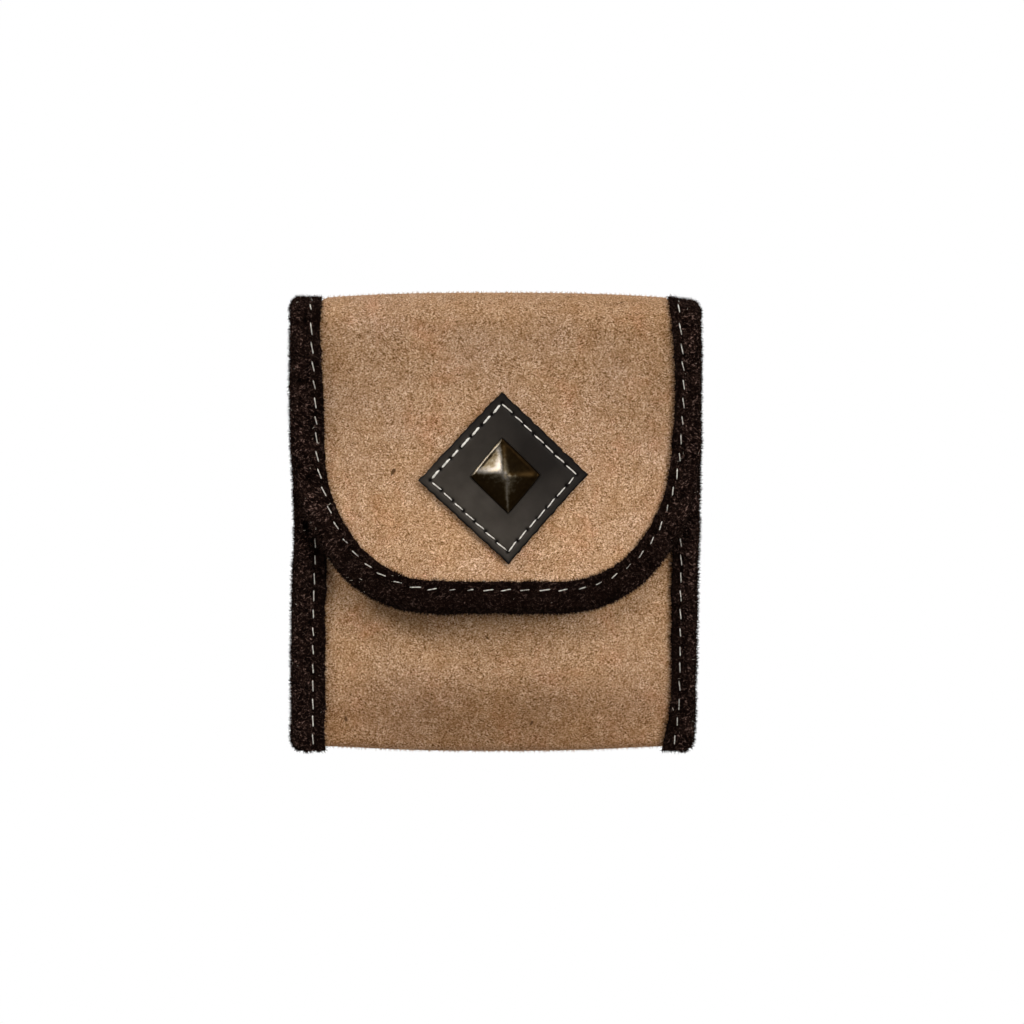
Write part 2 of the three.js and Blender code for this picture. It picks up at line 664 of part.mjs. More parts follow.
add("loop_stitching_right_bottom", loopSeam(1, -1), THREAD_WHITE);

export default bag;
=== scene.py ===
import math
import random

import bmesh
import bpy
from mathutils import Matrix, Vector, noise
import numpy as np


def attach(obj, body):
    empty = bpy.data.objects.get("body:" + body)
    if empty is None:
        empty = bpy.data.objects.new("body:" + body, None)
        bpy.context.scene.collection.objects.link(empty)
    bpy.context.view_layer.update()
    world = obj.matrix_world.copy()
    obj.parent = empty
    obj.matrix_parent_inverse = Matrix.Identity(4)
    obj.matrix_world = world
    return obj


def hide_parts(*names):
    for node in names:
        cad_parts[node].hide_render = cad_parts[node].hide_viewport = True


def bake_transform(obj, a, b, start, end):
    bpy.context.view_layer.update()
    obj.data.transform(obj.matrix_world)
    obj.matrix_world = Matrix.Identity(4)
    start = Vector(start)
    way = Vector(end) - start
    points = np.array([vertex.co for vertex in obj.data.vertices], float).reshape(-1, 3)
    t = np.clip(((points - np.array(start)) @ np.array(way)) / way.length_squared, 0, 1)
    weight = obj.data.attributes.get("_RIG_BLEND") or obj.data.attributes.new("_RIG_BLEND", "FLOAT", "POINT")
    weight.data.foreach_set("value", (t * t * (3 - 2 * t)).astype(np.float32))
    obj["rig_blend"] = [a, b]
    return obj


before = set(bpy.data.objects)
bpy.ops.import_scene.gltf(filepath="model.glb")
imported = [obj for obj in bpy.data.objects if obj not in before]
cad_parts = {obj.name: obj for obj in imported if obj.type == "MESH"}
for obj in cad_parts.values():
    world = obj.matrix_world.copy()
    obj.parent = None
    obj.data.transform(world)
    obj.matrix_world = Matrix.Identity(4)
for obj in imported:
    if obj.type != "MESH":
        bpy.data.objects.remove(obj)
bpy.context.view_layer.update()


# Pouch panel: one strip of tan split suede, 1.4 mm thick, that makes front, folded foot and back.
# Its sides are sewn into the bindings, and its raw top edge at the front is the mouth of the pocket.
# Lengths are in millimetres, with y = 0 in the middle of the back panel and z = 0 at the bindings' feet.
BAG_WIDTH = 105.0
BAG_HEIGHT = 117.0
SUEDE = 1.4
EDGE_OUT = 2.2  # from the suede's edge out to the binding's outer edge
BINDING_COVER = 8.3  # width of a binding seen from the front
SEAM_SPACING = 2.0  # between the two panels' middles at the side seams
POCKET_FOOT = 2.0  # how far the front stands off the back in the middle: at the foot, belly and mouth
POCKET_BELLY = 10.0
POCKET_MOUTH = 8.5
SLOPE_FROM = 2.3  # the front slopes out straight from here to here, and has eased to the belly further up
SLOPE_TO = 12.0
BELLY_FROM = 24.0
BELLY_TO = 76.0
FOOT_Z = 1.8  # height of the folded foot at the sides
FOOT_SAG = 1.1  # and how much lower it hangs in the middle
UNEVEN = 0.28  # height of the slow waves in the front
MOUTH_Z = BAG_HEIGHT - 15
JOIN_Z = 108.4  # where the panel meets the flap's strip, flat on the back
BELT_Y = 3.5  # the belt's way in the shared frame
BELT_Z = 69.0
FOLD_FROM = -0.0058  # in the shared frame, where the bend over the top fold begins and ends
FOLD_TO = -0.0085
LEAN = 1.4  # the bag is sewn by hand: its right edge comes in this much towards the foot,
LEAN_FROM = 68.0  # from this height down,
LEAN_OVER = 66.0
DRAWN = 0.75  # its left side is drawn in this much half way up,
DRAWN_Z = 58.0  # most at this height,
DRAWN_SPREAD = 17.0
NARROW = 1.5  # the right binding is this much narrower beside the flap's upper half,
NARROW_Z = 92.0
NARROW_SPREAD = 16.0
LEFT_LOW = 0.65  # below the flap's corners the left binding is this much wider
RIGHT_LOW = -0.85  # and the right one this much narrower,
LOW_FROM = 64.0  # from this height down,
LOW_OVER = 16.0
RIGHT_FOOT = 2.35  # but it widens by this much at its foot,
FOOT_OVER = 14.0  # which is this high,
CORNER = 2.2  # their top corners are rubbed to this radius,
TOP_DROP = 1.15  # and their tops lie this much lower than the fold between them,
TOP_SLANT = 1.2  # the right one sloping down by this much more to its outer edge,
TOP_FROM = 109.0  # all of it above this height
TOP_OVER = 8.0
EDGE_X = 43.5  # about the bindings' inner edges
EDGE_RUN = 8.0  # a change of a binding's width reaches this far across
SUEDE_HALF = BAG_WIDTH / 2 - EDGE_OUT
SWELL_HALF = BAG_WIDTH / 2 - BINDING_COVER - 0.4
SLOPE_RUN = SLOPE_TO - SLOPE_FROM + (BELLY_FROM - SLOPE_TO) / 2


def clamp(t):
    return min(1.0, max(0.0, t))


def smooth(t):
    return clamp(t) ** 2 * (3 - 2 * clamp(t))


def mix(a, b, t):
    return a + (b - a) * t


def bell(t, middle, width):
    """1 in the middle, falling off softly on both sides."""
    return math.exp(-((t - middle) / width) ** 2)


def hump(t, middle, half):
    """1 in the middle, and 0 from half a width away."""
    return max(0.0, 1 - ((t - middle) / half) ** 2) ** 2


def row_frame(p):
    """A point in millimetres, uneven as the bag was sewn, in metres in the shared frame."""
    x = p.x - LEAN * smooth((p.x - EDGE_X + 2.5) / 11) * clamp((LEAN_FROM - p.z) / LEAN_OVER)
    x += DRAWN * smooth((-p.x - 5) / 20) * bell(p.z, DRAWN_Z, DRAWN_SPREAD)
    x += NARROW * hump(p.x, EDGE_X + 1.5, EDGE_RUN) * bell(p.z, NARROW_Z, NARROW_SPREAD)
    behind_flap = smooth((p.y + 6.4) / 1.2)
    low = smooth((LOW_FROM - p.z) / LOW_OVER) * behind_flap
    foot = clamp((FOOT_OVER - p.z) / FOOT_OVER) ** 1.5
    wider = RIGHT_LOW * low + RIGHT_FOOT * foot if p.x > 0 else LEFT_LOW * low
    x -= (wider if p.x > 0 else -wider) * hump(abs(p.x), EDGE_X, EDGE_RUN)
    round_off = clamp((abs(p.x) - BAG_WIDTH / 2 + CORNER) / CORNER)
    drop = CORNER * (1 - math.sqrt(1 - 0.97 * round_off ** 2))
    drop += TOP_DROP * smooth((abs(p.x) - EDGE_X + 0.5) / 2)
    drop += TOP_SLANT * clamp((p.x - EDGE_X - 1) / 7)
    z = p.z - drop * smooth((p.z - TOP_FROM) / TOP_OVER)
    return Vector((x, p.y - BELT_Y, z - BELT_Z)) / 1000


def waves(x, z, size, seed):
    """Slow unevenness of hand-sewn leather, from about -1 to 1."""
    return noise.noise(Vector((x / size, seed, z / size))) * 1.6


def swell(x):
    """How full the pocket is at x: 1 in the middle and 0 at the side seams."""
    return (1 - min(1.0, abs(x) / SWELL_HALF) ** 2.8) ** 1.7


def panel_gap(x, z):
    """Distance between the middles of the front and back panels."""
    eased = clamp((z - SLOPE_TO) / (BELLY_FROM - SLOPE_TO))
    straight = max(0.0, min(z, SLOPE_TO) - SLOPE_FROM)
    rising = (straight + (BELLY_FROM - SLOPE_TO) * (eased - eased ** 2 / 2)) / SLOPE_RUN
    falling = smooth((z - BELLY_TO) / (MOUTH_Z - BELLY_TO))
    belly = mix(POCKET_FOOT, POCKET_BELLY, rising) + (POCKET_MOUTH - POCKET_BELLY) * falling
    return SEAM_SPACING + belly * swell(x)


def raised(surface, a, b, height):
    """A point off a surface along its normal. Plus is towards the inside of the strip, minus outside."""
    step = 0.02
    along = surface(a + step, b) - surface(a - step, b)
    across = surface(a, b + step) - surface(a, b - step)
    return surface(a, b) + along.cross(across).normalized() * height


def put_in_order(bm):
    """Sort a mesh by place, because extrude and spin leave their parts in another order on each run."""
    way = Vector((1, 400, 10000))
    bm.verts.sort(key=lambda v: v.co.dot(way))
    bm.faces.sort(key=lambda f: f.calc_center_median().dot(way))


def bent_strip(columns, rows, place, **masks):
    """A flat cut with two faces as a fine grid, bent so that each point lies at place(column, row, face).

    Outer faces are marked 1 and those of the cut edge 2. Each mask(column, row) is kept under its own name.
    """
    bm = bmesh.new()
    bmesh.ops.create_grid(bm, x_segments=columns, y_segments=rows, size=0.5)
    lifted = bmesh.ops.extrude_face_region(bm, geom=bm.faces[:], use_keep_orig=True)
    upper = [v for v in lifted["geom"] if isinstance(v, bmesh.types.BMVert)]
    bmesh.ops.translate(bm, verts=upper, vec=(0, 0, 1))
    put_in_order(bm)
    outer = bm.faces.layers.int.new("outer")
    for face in bm.faces:
        heights = sum(v.co.z for v in face.verts)
        face[outer] = {0: 0, 2: 2, 4: 1}[round(heights)]
    for name in masks:
        bm.verts.layers.float.new(name)
    for v in bm.verts:
        column = (v.co.x + 0.5) * columns
        row = (v.co.y + 0.5) * rows
        for name, mask in masks.items():
            v[bm.verts.layers.float[name]] = mask(column, row)
        v.co = row_frame(place(column, row, v.co.z))
    bmesh.ops.recalc_face_normals(bm, faces=bm.faces)
    if bm.calc_volume(signed=True) < 0:
        bmesh.ops.reverse_faces(bm, faces=bm.faces)
    return bm


def finished_mesh(name, bm):
    mesh = bpy.data.meshes.new(name)
    bm.to_mesh(mesh)
    bm.free()
    return mesh


def placed(name, data):
    """A new object in the scene."""
    made = bpy.data.objects.new(name, data)
    bpy.context.scene.collection.objects.link(made)
    return made


CREASE = math.radians(50)  # an edge bent more than this looks sharp


def add_piece(name, bm, materials, nodes=(), body=None):
    """A finished piece in the scene. It rides on a body, or bends over the fold if none is given."""
    mesh = finished_mesh(name, bm)
    for material in materials:
        mesh.materials.append(material)
    mesh.shade_smooth()
    mesh.set_sharp_from_angle(angle=CREASE)
    made = placed(name, mesh)
    if body:
        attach(made, body)
    else:
        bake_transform(made, "pouch", "flap", (0, FOLD_FROM, 0), (0, FOLD_TO, 0))
    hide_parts(*nodes)
    return made


def wire(tree, node, sockets):
    """Give sockets of a node a value, or join them to another node's output."""
    for name, value in sockets.items():
        if isinstance(value, bpy.types.NodeSocket):
            tree.links.new(value, node.inputs[name])
        else:
            node.inputs[name].default_value = value


def add_node(tree, kind, sockets=None, **settings):
    """A shader node with its settings made and its sockets wired."""
    made = tree.nodes.new("ShaderNode" + kind)
    for name, value in settings.items():
        setattr(made, name, value)
    wire(tree, made, sockets or {})
    return made


def blended(tree, factor, below, above, way="MIX"):
    """One colour laid over another, or multiplied with it."""
    layers = {"Factor": factor, "A": below, "B": above}
    return add_node(tree, "Mix", layers, data_type="RGBA", blend_type=way).outputs["Result"]


def painted(tree, name):
    """A mask that a piece keeps on its points."""
    return add_node(tree, "Attribute", attribute_name=name).outputs["Fac"]


def add_ramp(tree, fac, stops, way="LINEAR"):
    """A colour ramp through (place, colour) stops."""
    ramp = add_node(tree, "ValToRGB", {"Fac": fac})
    ramp.color_ramp.interpolation = way
    elements = ramp.color_ramp.elements
    while len(elements) < len(stops):
        elements.new(0.5)
    for element, (place, colour) in zip(elements, stops):
        element.position = place
        element.color = (*colour, 1)
    return ramp.outputs["Color"]


def nap_group():
    """Masks of a suede nap: curly fibre clumps, mottling, broad stains, a reddish blush and dark specks."""
    group = bpy.data.node_groups.new("suede_nap", "ShaderNodeTree")
    group.interface.new_socket("Position", in_out="INPUT", socket_type="NodeSocketVector")
    group.interface.new_socket("Clumps", in_out="INPUT", socket_type="NodeSocketFloat")
    for name in ("Nap", "Mottle", "Stain", "Blush", "Speck"):
        group.interface.new_socket(name, in_out="OUTPUT", socket_type="NodeSocketFloat")
    given = group.nodes.new("NodeGroupInput").outputs
    out = group.nodes.new("NodeGroupOutput")

    def spread(scale, low, high, **sockets):
        sockets = {"Vector": given["Position"], "Scale": scale, **sockets}
        field = add_node(group, "TexNoise", sockets).outputs["Fac"]
        return add_node(group, "MapRange", {"Value": field, "From Min": low, "From Max": high})

    def strokes(degrees):
        turn = {"Vector": given["Position"], "Angle": math.radians(degrees)}
        turned = add_node(group, "VectorRotate", turn, rotation_type="Y_AXIS")
        drawn = add_node(group, "VectorMath", {0: turned.outputs[0], 1: (1, 1, 0.58)}, operation="MULTIPLY")
        return spread(given["Clumps"], 0.35, 0.66, Vector=drawn.outputs[0], Detail=2.0, Roughness=0.65,
                      Distortion=0.7)

    lay = spread(240.0, 0.42, 0.58, Detail=1.0)
    nap = add_node(group, "Mix", {"Factor": lay.outputs["Result"], "A": strokes(62).outputs["Result"],
                                  "B": strokes(-58).outputs["Result"]})
    mottle = spread(260.0, 0.32, 0.68, Detail=3.0, Roughness=0.6)
    stain = spread(62.0, 0.3, 0.7, Detail=3.0, Roughness=0.5)
    blush = spread(95.0, 0.54, 0.72, Detail=3.0, Roughness=0.6, Distortion=0.3)
    speck = spread(330.0, 0.792, 0.804, Detail=1.0, Distortion=0.4)
    fields = {"Nap": nap, "Mottle": mottle, "Stain": stain, "Blush": blush, "Speck": speck}
    for name, field in fields.items():
        group.links.new(field.outputs["Result"], out.inputs[name])
    return group


suede_nap = nap_group()


def new_material(name):
    """An empty node material, its tree and its shader."""
    material = bpy.data.materials.new(name)
    material.use_nodes = True
    tree = material.node_tree
    return material, tree, tree.nodes["Principled BSDF"]


def own_place(tree):
    """The piece's own coordinates."""
    return add_node(tree, "TexCoord").outputs["Object"]


def tan_suede(name, shades):
    """Tan nap, with light and shade painted on by (height, shade) steps (metres in the shared frame)."""
    material, tree, shader = new_material(name)
    position = own_place(tree)
    nap = add_node(tree, "Group", {"Position": position, "Clumps": 3300.0}, node_tree=suede_nap).outputs
    colour = add_ramp(tree, nap["Nap"], [
        (0.0, (0.1, 0.043, 0.01)),
        (0.5, (0.36, 0.205, 0.105)),
        (1.0, (0.68, 0.475, 0.32)),
    ])
    stain = add_ramp(tree, nap["Stain"], [
        (0.0, (0.97, 0.93, 0.86)),
        (0.5, (1.0, 1.0, 1.0)),
        (1.0, (1.03, 1.05, 1.12)),
    ])
    mottle = add_ramp(tree, nap["Mottle"], [(0.0, (0.88, 0.84, 0.79)), (1.0, (1.11, 1.14, 1.19))])
    blush = add_ramp(tree, nap["Blush"], [(0.0, (1.0, 1.0, 1.0)), (1.0, (1.03, 0.925, 0.89))])
    height = add_node(tree, "SeparateXYZ", {"Vector": position}).outputs["Z"]
    low = shades[0][0]
    high = shades[-1][0]
    level = add_node(tree, "MapRange", {"Value": height, "From Min": low, "From Max": high})
    steps = [((z - low) / (high - low), shade) for z, shade in shades]
    # painted shade: the suede is made lighter or darker by height, as light falls on it
    painted_shading = add_ramp(tree, level.outputs["Result"], steps, "EASE")
    for layer in (stain, mottle, blush, painted_shading):
        colour = blended(tree, 1.0, colour, layer, "MULTIPLY")
    bump = add_node(tree, "Bump", {"Height": nap["Nap"], "Strength": 0.8, "Distance": 0.00013})
    wire(tree, shader, {
        "Base Color": blended(tree, nap["Speck"], colour, (0.09, 0.045, 0.02, 1)),
        "Normal": bump.outputs["Normal"],
        "Roughness": 0.95,
        "Specular IOR Level": 0.05,
    })
    return material


# Painted shade: darker towards the foot, and darker at the top of the back to meet the flap's painted shade.
pouch_suede = tan_suede("tan_suede_pouch", [
    (-0.061, (0.77, 0.72, 0.67)),
    (-0.044, (1.05, 1.04, 1.02)),
    (0.0, (1.05, 1.05, 1.05)),
    (0.039, (0.86, 0.86, 0.86)),
])
COLUMNS = 80  # cells across the suede, and down the back, round the foot and up the front
BACK_ROWS = 40
FOOT_ROWS = 14
FRONT_ROWS = 76


def pouch_sheet(x, row):
    """Middle of the panel: down the back, round the foot and up the front to the mouth."""
    lean = math.atan(swell(x) * (POCKET_BELLY - POCKET_FOOT) / SLOPE_RUN)
    radius = panel_gap(x, SLOPE_FROM) / (1 + math.cos(lean))
    low = FOOT_Z - FOOT_SAG * swell(x) + radius
    if row <= BACK_ROWS:
        return Vector((x, 0, mix(JOIN_Z, low, row / BACK_ROWS)))
    if row <= BACK_ROWS + FOOT_ROWS:
        turn = (row - BACK_ROWS) / FOOT_ROWS * (math.pi - lean)
        return Vector((x, -radius * (1 - math.cos(turn)), low - radius * math.sin(turn)))
    foot_top = low - radius * math.sin(lean)
    z = mix(foot_top, MOUTH_Z, (row - BACK_ROWS - FOOT_ROWS) / FRONT_ROWS)
    uneven = UNEVEN * waves(x, z, 21, 3.1) * swell(x) * smooth((z - foot_top) / 12)
    return Vector((x, -panel_gap(x, z) + uneven, z))


def pouch_point(column, row, face):
    x = mix(-SUEDE_HALF, SUEDE_HALF, column / COLUMNS)
    return raised(pouch_sheet, x, row, (face - 0.5) * SUEDE)


pouch_rows = BACK_ROWS + FOOT_ROWS + FRONT_ROWS
pouch = add_piece("pouch_panel_suede", bent_strip(COLUMNS, pouch_rows, pouch_point), [pouch_suede],
                  ["pouch_panel"], "pouch")


def run_length(points):
    return sum((b - a).length for a, b in zip(points, points[1:]))


pouch_length = run_length([pouch_sheet(0, row) for row in range(pouch_rows + 1)])


# Flap panel: the same strip of suede, carried on from the back over the top fold and down over the front.
# The fold is what the flap opens on, so the piece bends there; its lower corners are cut to a round U.
# Its colour carries painted light: lighter on the lower part and darker up towards the fold.
FOLD_BACK = 3.7  # from the back panel's middle to the hinge line
FOLD_FRONT = 8.3  # from the hinge line to the flap's middle at the sides
FOLD_BULGE = 3.2  # the fold reaches this much further forward in the middle
FOLD_DROP_BACK = 5.0  # height of the bend behind the hinge line
FOLD_DROP_FRONT = 6.5  # and in front of it
FOLD_CROWN = 1.3  # the fold is this much higher in the middle than at the sides
DRAPE = 36.0  # height over which the flap settles onto the pouch
FLAP_STANDOFF = 4.2  # room between the front panel and the flap, for the bindings and the press stud
FLAP_FLARE = 1.5  # the flap's lower edge stands off this much more
FLARE_FROM = 85.0  # height at which that begins
FLAP_LENGTH = 82.1  # from the bag's top to the lower edge of the flap's binding
FLAP_UNEVEN = 0.3  # height of the slow waves in the flap
FLAP_FOOT_Z = BAG_HEIGHT - FLAP_LENGTH + EDGE_OUT
CORNER_ACROSS = 36.0 - EDGE_OUT  # the rounded corners
CORNER_DOWN = 42.0 - EDGE_OUT
APEX_Z = BAG_HEIGHT - EDGE_OUT
BACK_BEND_Z = APEX_Z - FOLD_DROP_BACK
FRONT_BEND_Z = APEX_Z - FOLD_DROP_FRONT
CORNER_Z = FLAP_FOOT_Z + CORNER_DOWN
BACK_BEND = math.pi / 4 * (FOLD_BACK + FOLD_DROP_BACK)
FRONT_BEND = math.pi / 4 * (FOLD_FRONT + FOLD_BULGE + FOLD_DROP_FRONT)
JOIN_ROW = -BACK_BEND - (BACK_BEND_Z - JOIN_Z)


def flap_sheet(x, q):
    """Middle of the strip at x, and at q along it from the hinge line: the back is minus, the flap plus."""
    crown = FOLD_CROWN * swell(x) ** 0.6
    reach = FOLD_FRONT + FOLD_BULGE * swell(x)
    if q < -BACK_BEND:
        return Vector((x, 0, BACK_BEND_Z + (q + BACK_BEND)))
    if q < 0:
        turn = -q / BACK_BEND * math.pi / 2
        y = FOLD_BACK * (math.sin(turn) - 1)
        return Vector((x, y, BACK_BEND_Z + (FOLD_DROP_BACK + crown) * math.cos(turn)))
    if q < FRONT_BEND:
        turn = q / FRONT_BEND * math.pi / 2
        y = -FOLD_BACK - reach * math.sin(turn)
        return Vector((x, y, FRONT_BEND_Z + (FOLD_DROP_FRONT + crown) * math.cos(turn)))
    z = FRONT_BEND_Z - (q - FRONT_BEND)
    flare = FLAP_FLARE * clamp((FLARE_FROM - z) / (FLARE_FROM - FLAP_FOOT_Z)) ** 2
    settled = -(panel_gap(x, z) + SUEDE + FLAP_STANDOFF + flare)
    y = mix(-FOLD_BACK - reach, settled, smooth((q - FRONT_BEND) / DRAPE))
    uneven = FLAP_UNEVEN * waves(x, z, 24, 7.7) * swell(x) * smooth((q - FRONT_BEND) / 14)
    return Vector((x, y + uneven, z))


def flap_row(z):
    """Place along the strip of a height on the hanging part of the flap."""
    return FRONT_BEND + FRONT_BEND_Z - z


def fold_row(t):
    """Place along the strip from the back (0) to the end of the bend (1), slowest over the fold."""
    s = 2 * t - 1
    return s * s * (FRONT_BEND if s > 0 else JOIN_ROW)


BEND_ROWS = 26  # cells over the bend, down to the corners and round them
HANG_ROWS = 26
CORNER_ROWS = 34


def flap_point(column, row, face):
    part = mix(-1, 1, column / COLUMNS)
    if row <= BEND_ROWS:
        q = fold_row(row / BEND_ROWS)
        return raised(flap_sheet, part * SUEDE_HALF, q, (0.5 - face) * SUEDE)
    if row <= BEND_ROWS + HANG_ROWS:
        z = mix(FRONT_BEND_Z, CORNER_Z, (row - BEND_ROWS) / HANG_ROWS)
        return raised(flap_sheet, part * SUEDE_HALF, flap_row(z), (0.5 - face) * SUEDE)
    turn = (row - BEND_ROWS - HANG_ROWS) / CORNER_ROWS * math.pi / 2
    half = SUEDE_HALF - CORNER_ACROSS * (1 - math.cos(turn))
    z = CORNER_Z - CORNER_DOWN * math.sin(turn)
    return raised(flap_sheet, part * half, flap_row(z), (0.5 - face) * SUEDE)


# Painted light and shade: lighter low on the flap, darker up towards the fold.
flap_suede = tan_suede("tan_suede_flap", [(-0.012, (1.17, 1.17, 1.17)), (0.034, (0.87, 0.87, 0.87))])
flap = add_piece("flap_panel_suede", bent_strip(COLUMNS, BEND_ROWS + HANG_ROWS + CORNER_ROWS, flap_point),
                 [flap_suede], ["flap_panel"])
flap_rows = [mix(JOIN_ROW, flap_row(FLAP_FOOT_Z), k / 100) for k in range(101)]
flap_length = run_length([flap_sheet(0, row) for row in flap_rows])


# Flap binding: a strip of dark brown suede, 1.2 mm thick, folded over the flap's edge and sewn through.
# It runs as one U from the back over the fold, down one side, round the lower edge and up the other side.
# It is plump outside the seam, drawn in along it, and its raw inner edge lies flat as a thin lip.
BINDING = 1.2
LIP = BINDING_COVER - EDGE_OUT
FLAP_SEAM_IN = 6.1 - EDGE_OUT  # the flap's seam and the side seams, from the suede's edge
SIDE_SEAM_IN = 5.5 - EDGE_OUT
SEAT = 0.05  # room between pieces that lie on each other
SEATED = SUEDE / 2 + BINDING / 2 + SEAT  # height of the binding's middle where it lies on the suede
PLUMP = 0.75  # how far the folded edge stands up
VALLEY = 0.2  # how deep the seam is drawn in
RAW_THIN = 0.55  # a raw edge is pressed to this share of the thickness
RAGGED = 0.32  # and wanders this much
WOOL = 0.35  # how far the nap stands off at the edge
LUMPS = 0.16  # height of the lumps in the nap
PRESSED = 0.6  # how flat the nap lies inside the seam
LOWER_EDGE_SHADE = 0.65  # painted shade along the flap's lower edge, which faces down
SEAM_DRIFT = (-0.4, 0.75)  # how far in the flap's seam lies on the left, at the top and lower down
BACK_LEG = 22  # cells along half the U: over the bend, down the side, round the corner and to the middle
SIDE_LEG = 46
CORNER_LEG = 66
LOWER_LEG = 40
FRONT_FLANGE = 14  # cells across the strip: outer flange, rolled edge and inner flange
EDGE_ROLL = 10
BACK_FLANGE = 7
BINDING_ROWS = FRONT_FLANGE + EDGE_ROLL + BACK_FLANGE
EDGE_STEPS = 2 * (BACK_LEG + SIDE_LEG + CORNER_LEG + LOWER_LEG)


def flap_edge(step):
    """The suede's edge: place on the strip (x, q) and the way outwards (out_x, out_q)."""
    if step > EDGE_STEPS / 2:
        x, q, out_x, out_q = flap_edge(EDGE_STEPS - step)
        return -x, q, -out_x, out_q
    if step <= BACK_LEG:
        return -SUEDE_HALF, fold_row(step / BACK_LEG), -1, 0
    if step <= BACK_LEG + SIDE_LEG:
        z = mix(FRONT_BEND_Z, CORNER_Z, (step - BACK_LEG) / SIDE_LEG)
        return -SUEDE_HALF, flap_row(z), -1, 0
    if step <= BACK_LEG + SIDE_LEG + CORNER_LEG:
        turn = (step - BACK_LEG - SIDE_LEG) / CORNER_LEG * math.pi / 2
        out = Vector((-math.cos(turn) / CORNER_ACROSS, math.sin(turn) / CORNER_DOWN)).normalized()
        x = -SUEDE_HALF + CORNER_ACROSS * (1 - math.cos(turn))
        return x, flap_row(CORNER_Z - CORNER_DOWN * math.sin(turn)), out.x, out.y
    part = (step - BACK_LEG - SIDE_LEG - CORNER_LEG) / LOWER_LEG
    return mix(-SUEDE_HALF + CORNER_ACROSS, 0, part), flap_row(FLAP_FOOT_Z), 0, 1


def flange_rise(inside, seam):
    """How far the outer flange stands off its seat, by the distance in from the suede's edge."""
    plump = PLUMP * (1 - smooth((inside - 0.4) / (seam - 0.4)))
    valley = VALLEY * bell(inside, seam, 0.9)
    return plump - valley + 0.12 * smooth((inside - seam) / 2)


def binding_fold(row, low, high, seam, puff):
    """Middle line of the folded strip seen end on, as (out, up), from the outer to the inner flange."""
    if row <= FRONT_FLANGE:
        inside = mix(LIP, 0, row / FRONT_FLANGE)
        return Vector((-inside, high + puff * flange_rise(inside, seam)))
    if row <= FRONT_FLANGE + EDGE_ROLL:
        turn = (row - FRONT_FLANGE) / EDGE_ROLL * math.pi
        top = high + puff * flange_rise(0, seam)
        up = (top + low) / 2 + (top - low) / 2 * math.cos(turn)
        return Vector(((EDGE_OUT - WOOL - BINDING / 2) * math.sin(turn), up))
    return Vector((-mix(0, LIP, (row - FRONT_FLANGE - EDGE_ROLL) / BACK_FLANGE), low))


def binding_section(row, low, high, seam, face, puff=1.0):
    """The same line moved to the strip's inner (0) or outer (1) face, thinner at its raw edges."""
    ahead = binding_fold(min(row + 0.02, BINDING_ROWS), low, high, seam, puff)
    behind = binding_fold(max(row - 0.02, 0), low, high, seam, puff)
    along = (ahead - behind).normalized()
    raw = RAW_THIN if row < 0.5 or row > BINDING_ROWS - 0.5 else 1.0
    off = Vector((-along.y, along.x)) * (face - 0.5) * BINDING * raw
    return binding_fold(row, low, high, seam, puff) + off


def dark_suede():
    """Dark woolly nap, near black in the hollows with brown fibre tips, and flat and darker where "mask" is
    high, which also carries painted shade.
    """
    material, tree, shader = new_material("dark_suede")
    clumps = {"Position": own_place(tree), "Clumps": 2000.0}
    nap = add_node(tree, "Group", clumps, node_tree=suede_nap).outputs
    fibre = add_ramp(tree, nap["Nap"], [
        (0.0, (0.0015, 0.0007, 0.0005)),
        (0.5, (0.0085, 0.0043, 0.0032)),
        (0.75, (0.033, 0.0185, 0.014)),
        (1.0, (0.15, 0.094, 0.077)),
    ])
    mottle = add_ramp(tree, nap["Mottle"], [(0.0, (0.35,) * 3), (1.0, (1.6,) * 3)])
    woollen = blended(tree, 1.0, fibre, mottle, "MULTIPLY")
    bump = add_node(tree, "Bump", {"Height": nap["Nap"], "Strength": 0.9, "Distance": 0.0004})
    wire(tree, shader, {
        # the mask darkens the pressed lip, and paints shade along the flap's lower edge
        "Base Color": blended(tree, painted(tree, "mask"), woollen, (0.0042, 0.002, 0.0014, 1)),
        "Normal": bump.outputs["Normal"],
        "Roughness": 0.95,
        "Specular IOR Level": 0.0,
    })
    return material


binding_suede = dark_suede()


def woolly(point, face, seed):
    """A binding's outer face is lumpy with nap; its inner face is smooth."""
    return face * LUMPS * noise.noise(point / 0.9 + Vector((seed, 0, 0)))


def raw_edge(step, row, seed):
    """A binding's inner edge is cut raw, so it is a little ragged."""
    return RAGGED * noise.noise(Vector((step * 1.37 + 0.4, seed, 0))) if row == 0 else 0


def flap_seam_in(step):
    """The flap's seam from the suede's edge: further out at the top left, further in down the left side."""
    x, q = flap_edge(step)[:2]
    z = flap_sheet(x, q).z
    return FLAP_SEAM_IN + mix(*SEAM_DRIFT, smooth((112 - z) / 30)) * smooth((-x - 5) / 25)


def flap_binding_point(step, row, face):
    x, q, out_x, out_q = flap_edge(step)
    pulled_flat = 0.85 * smooth((q + 12) / 6) * smooth((9 - q) / 6)
    seam = flap_seam_in(step)
    wider = 1 + 0.11 * (seam - FLAP_SEAM_IN)
    spot = binding_section(row, -SEATED, SEATED, seam / wider, face, 1 - pulled_flat)
    uneven = 0.22 * waves(step * 0.9, row * 2, 9, 1.3) * (1 if spot.x > -3 else 0.6)
    out = spot.x * (wider if spot.x < 0 else 1) + uneven + raw_edge(step, row, 2.5)
    place = raised(flap_sheet, x + out_x * out, q + out_q * out, -spot.y)
    return raised(flap_sheet, x + out_x * out, q + out_q * out, -spot.y - woolly(place, face, 0.0))


def pressed_lip(row, seam):
    """Mask of the flange inside the seam, up to its raw edge, where the nap is pressed flat and dark."""
    return PRESSED * smooth((mix(LIP, 0, row / FRONT_FLANGE) - seam + 0.2) / 0.7)


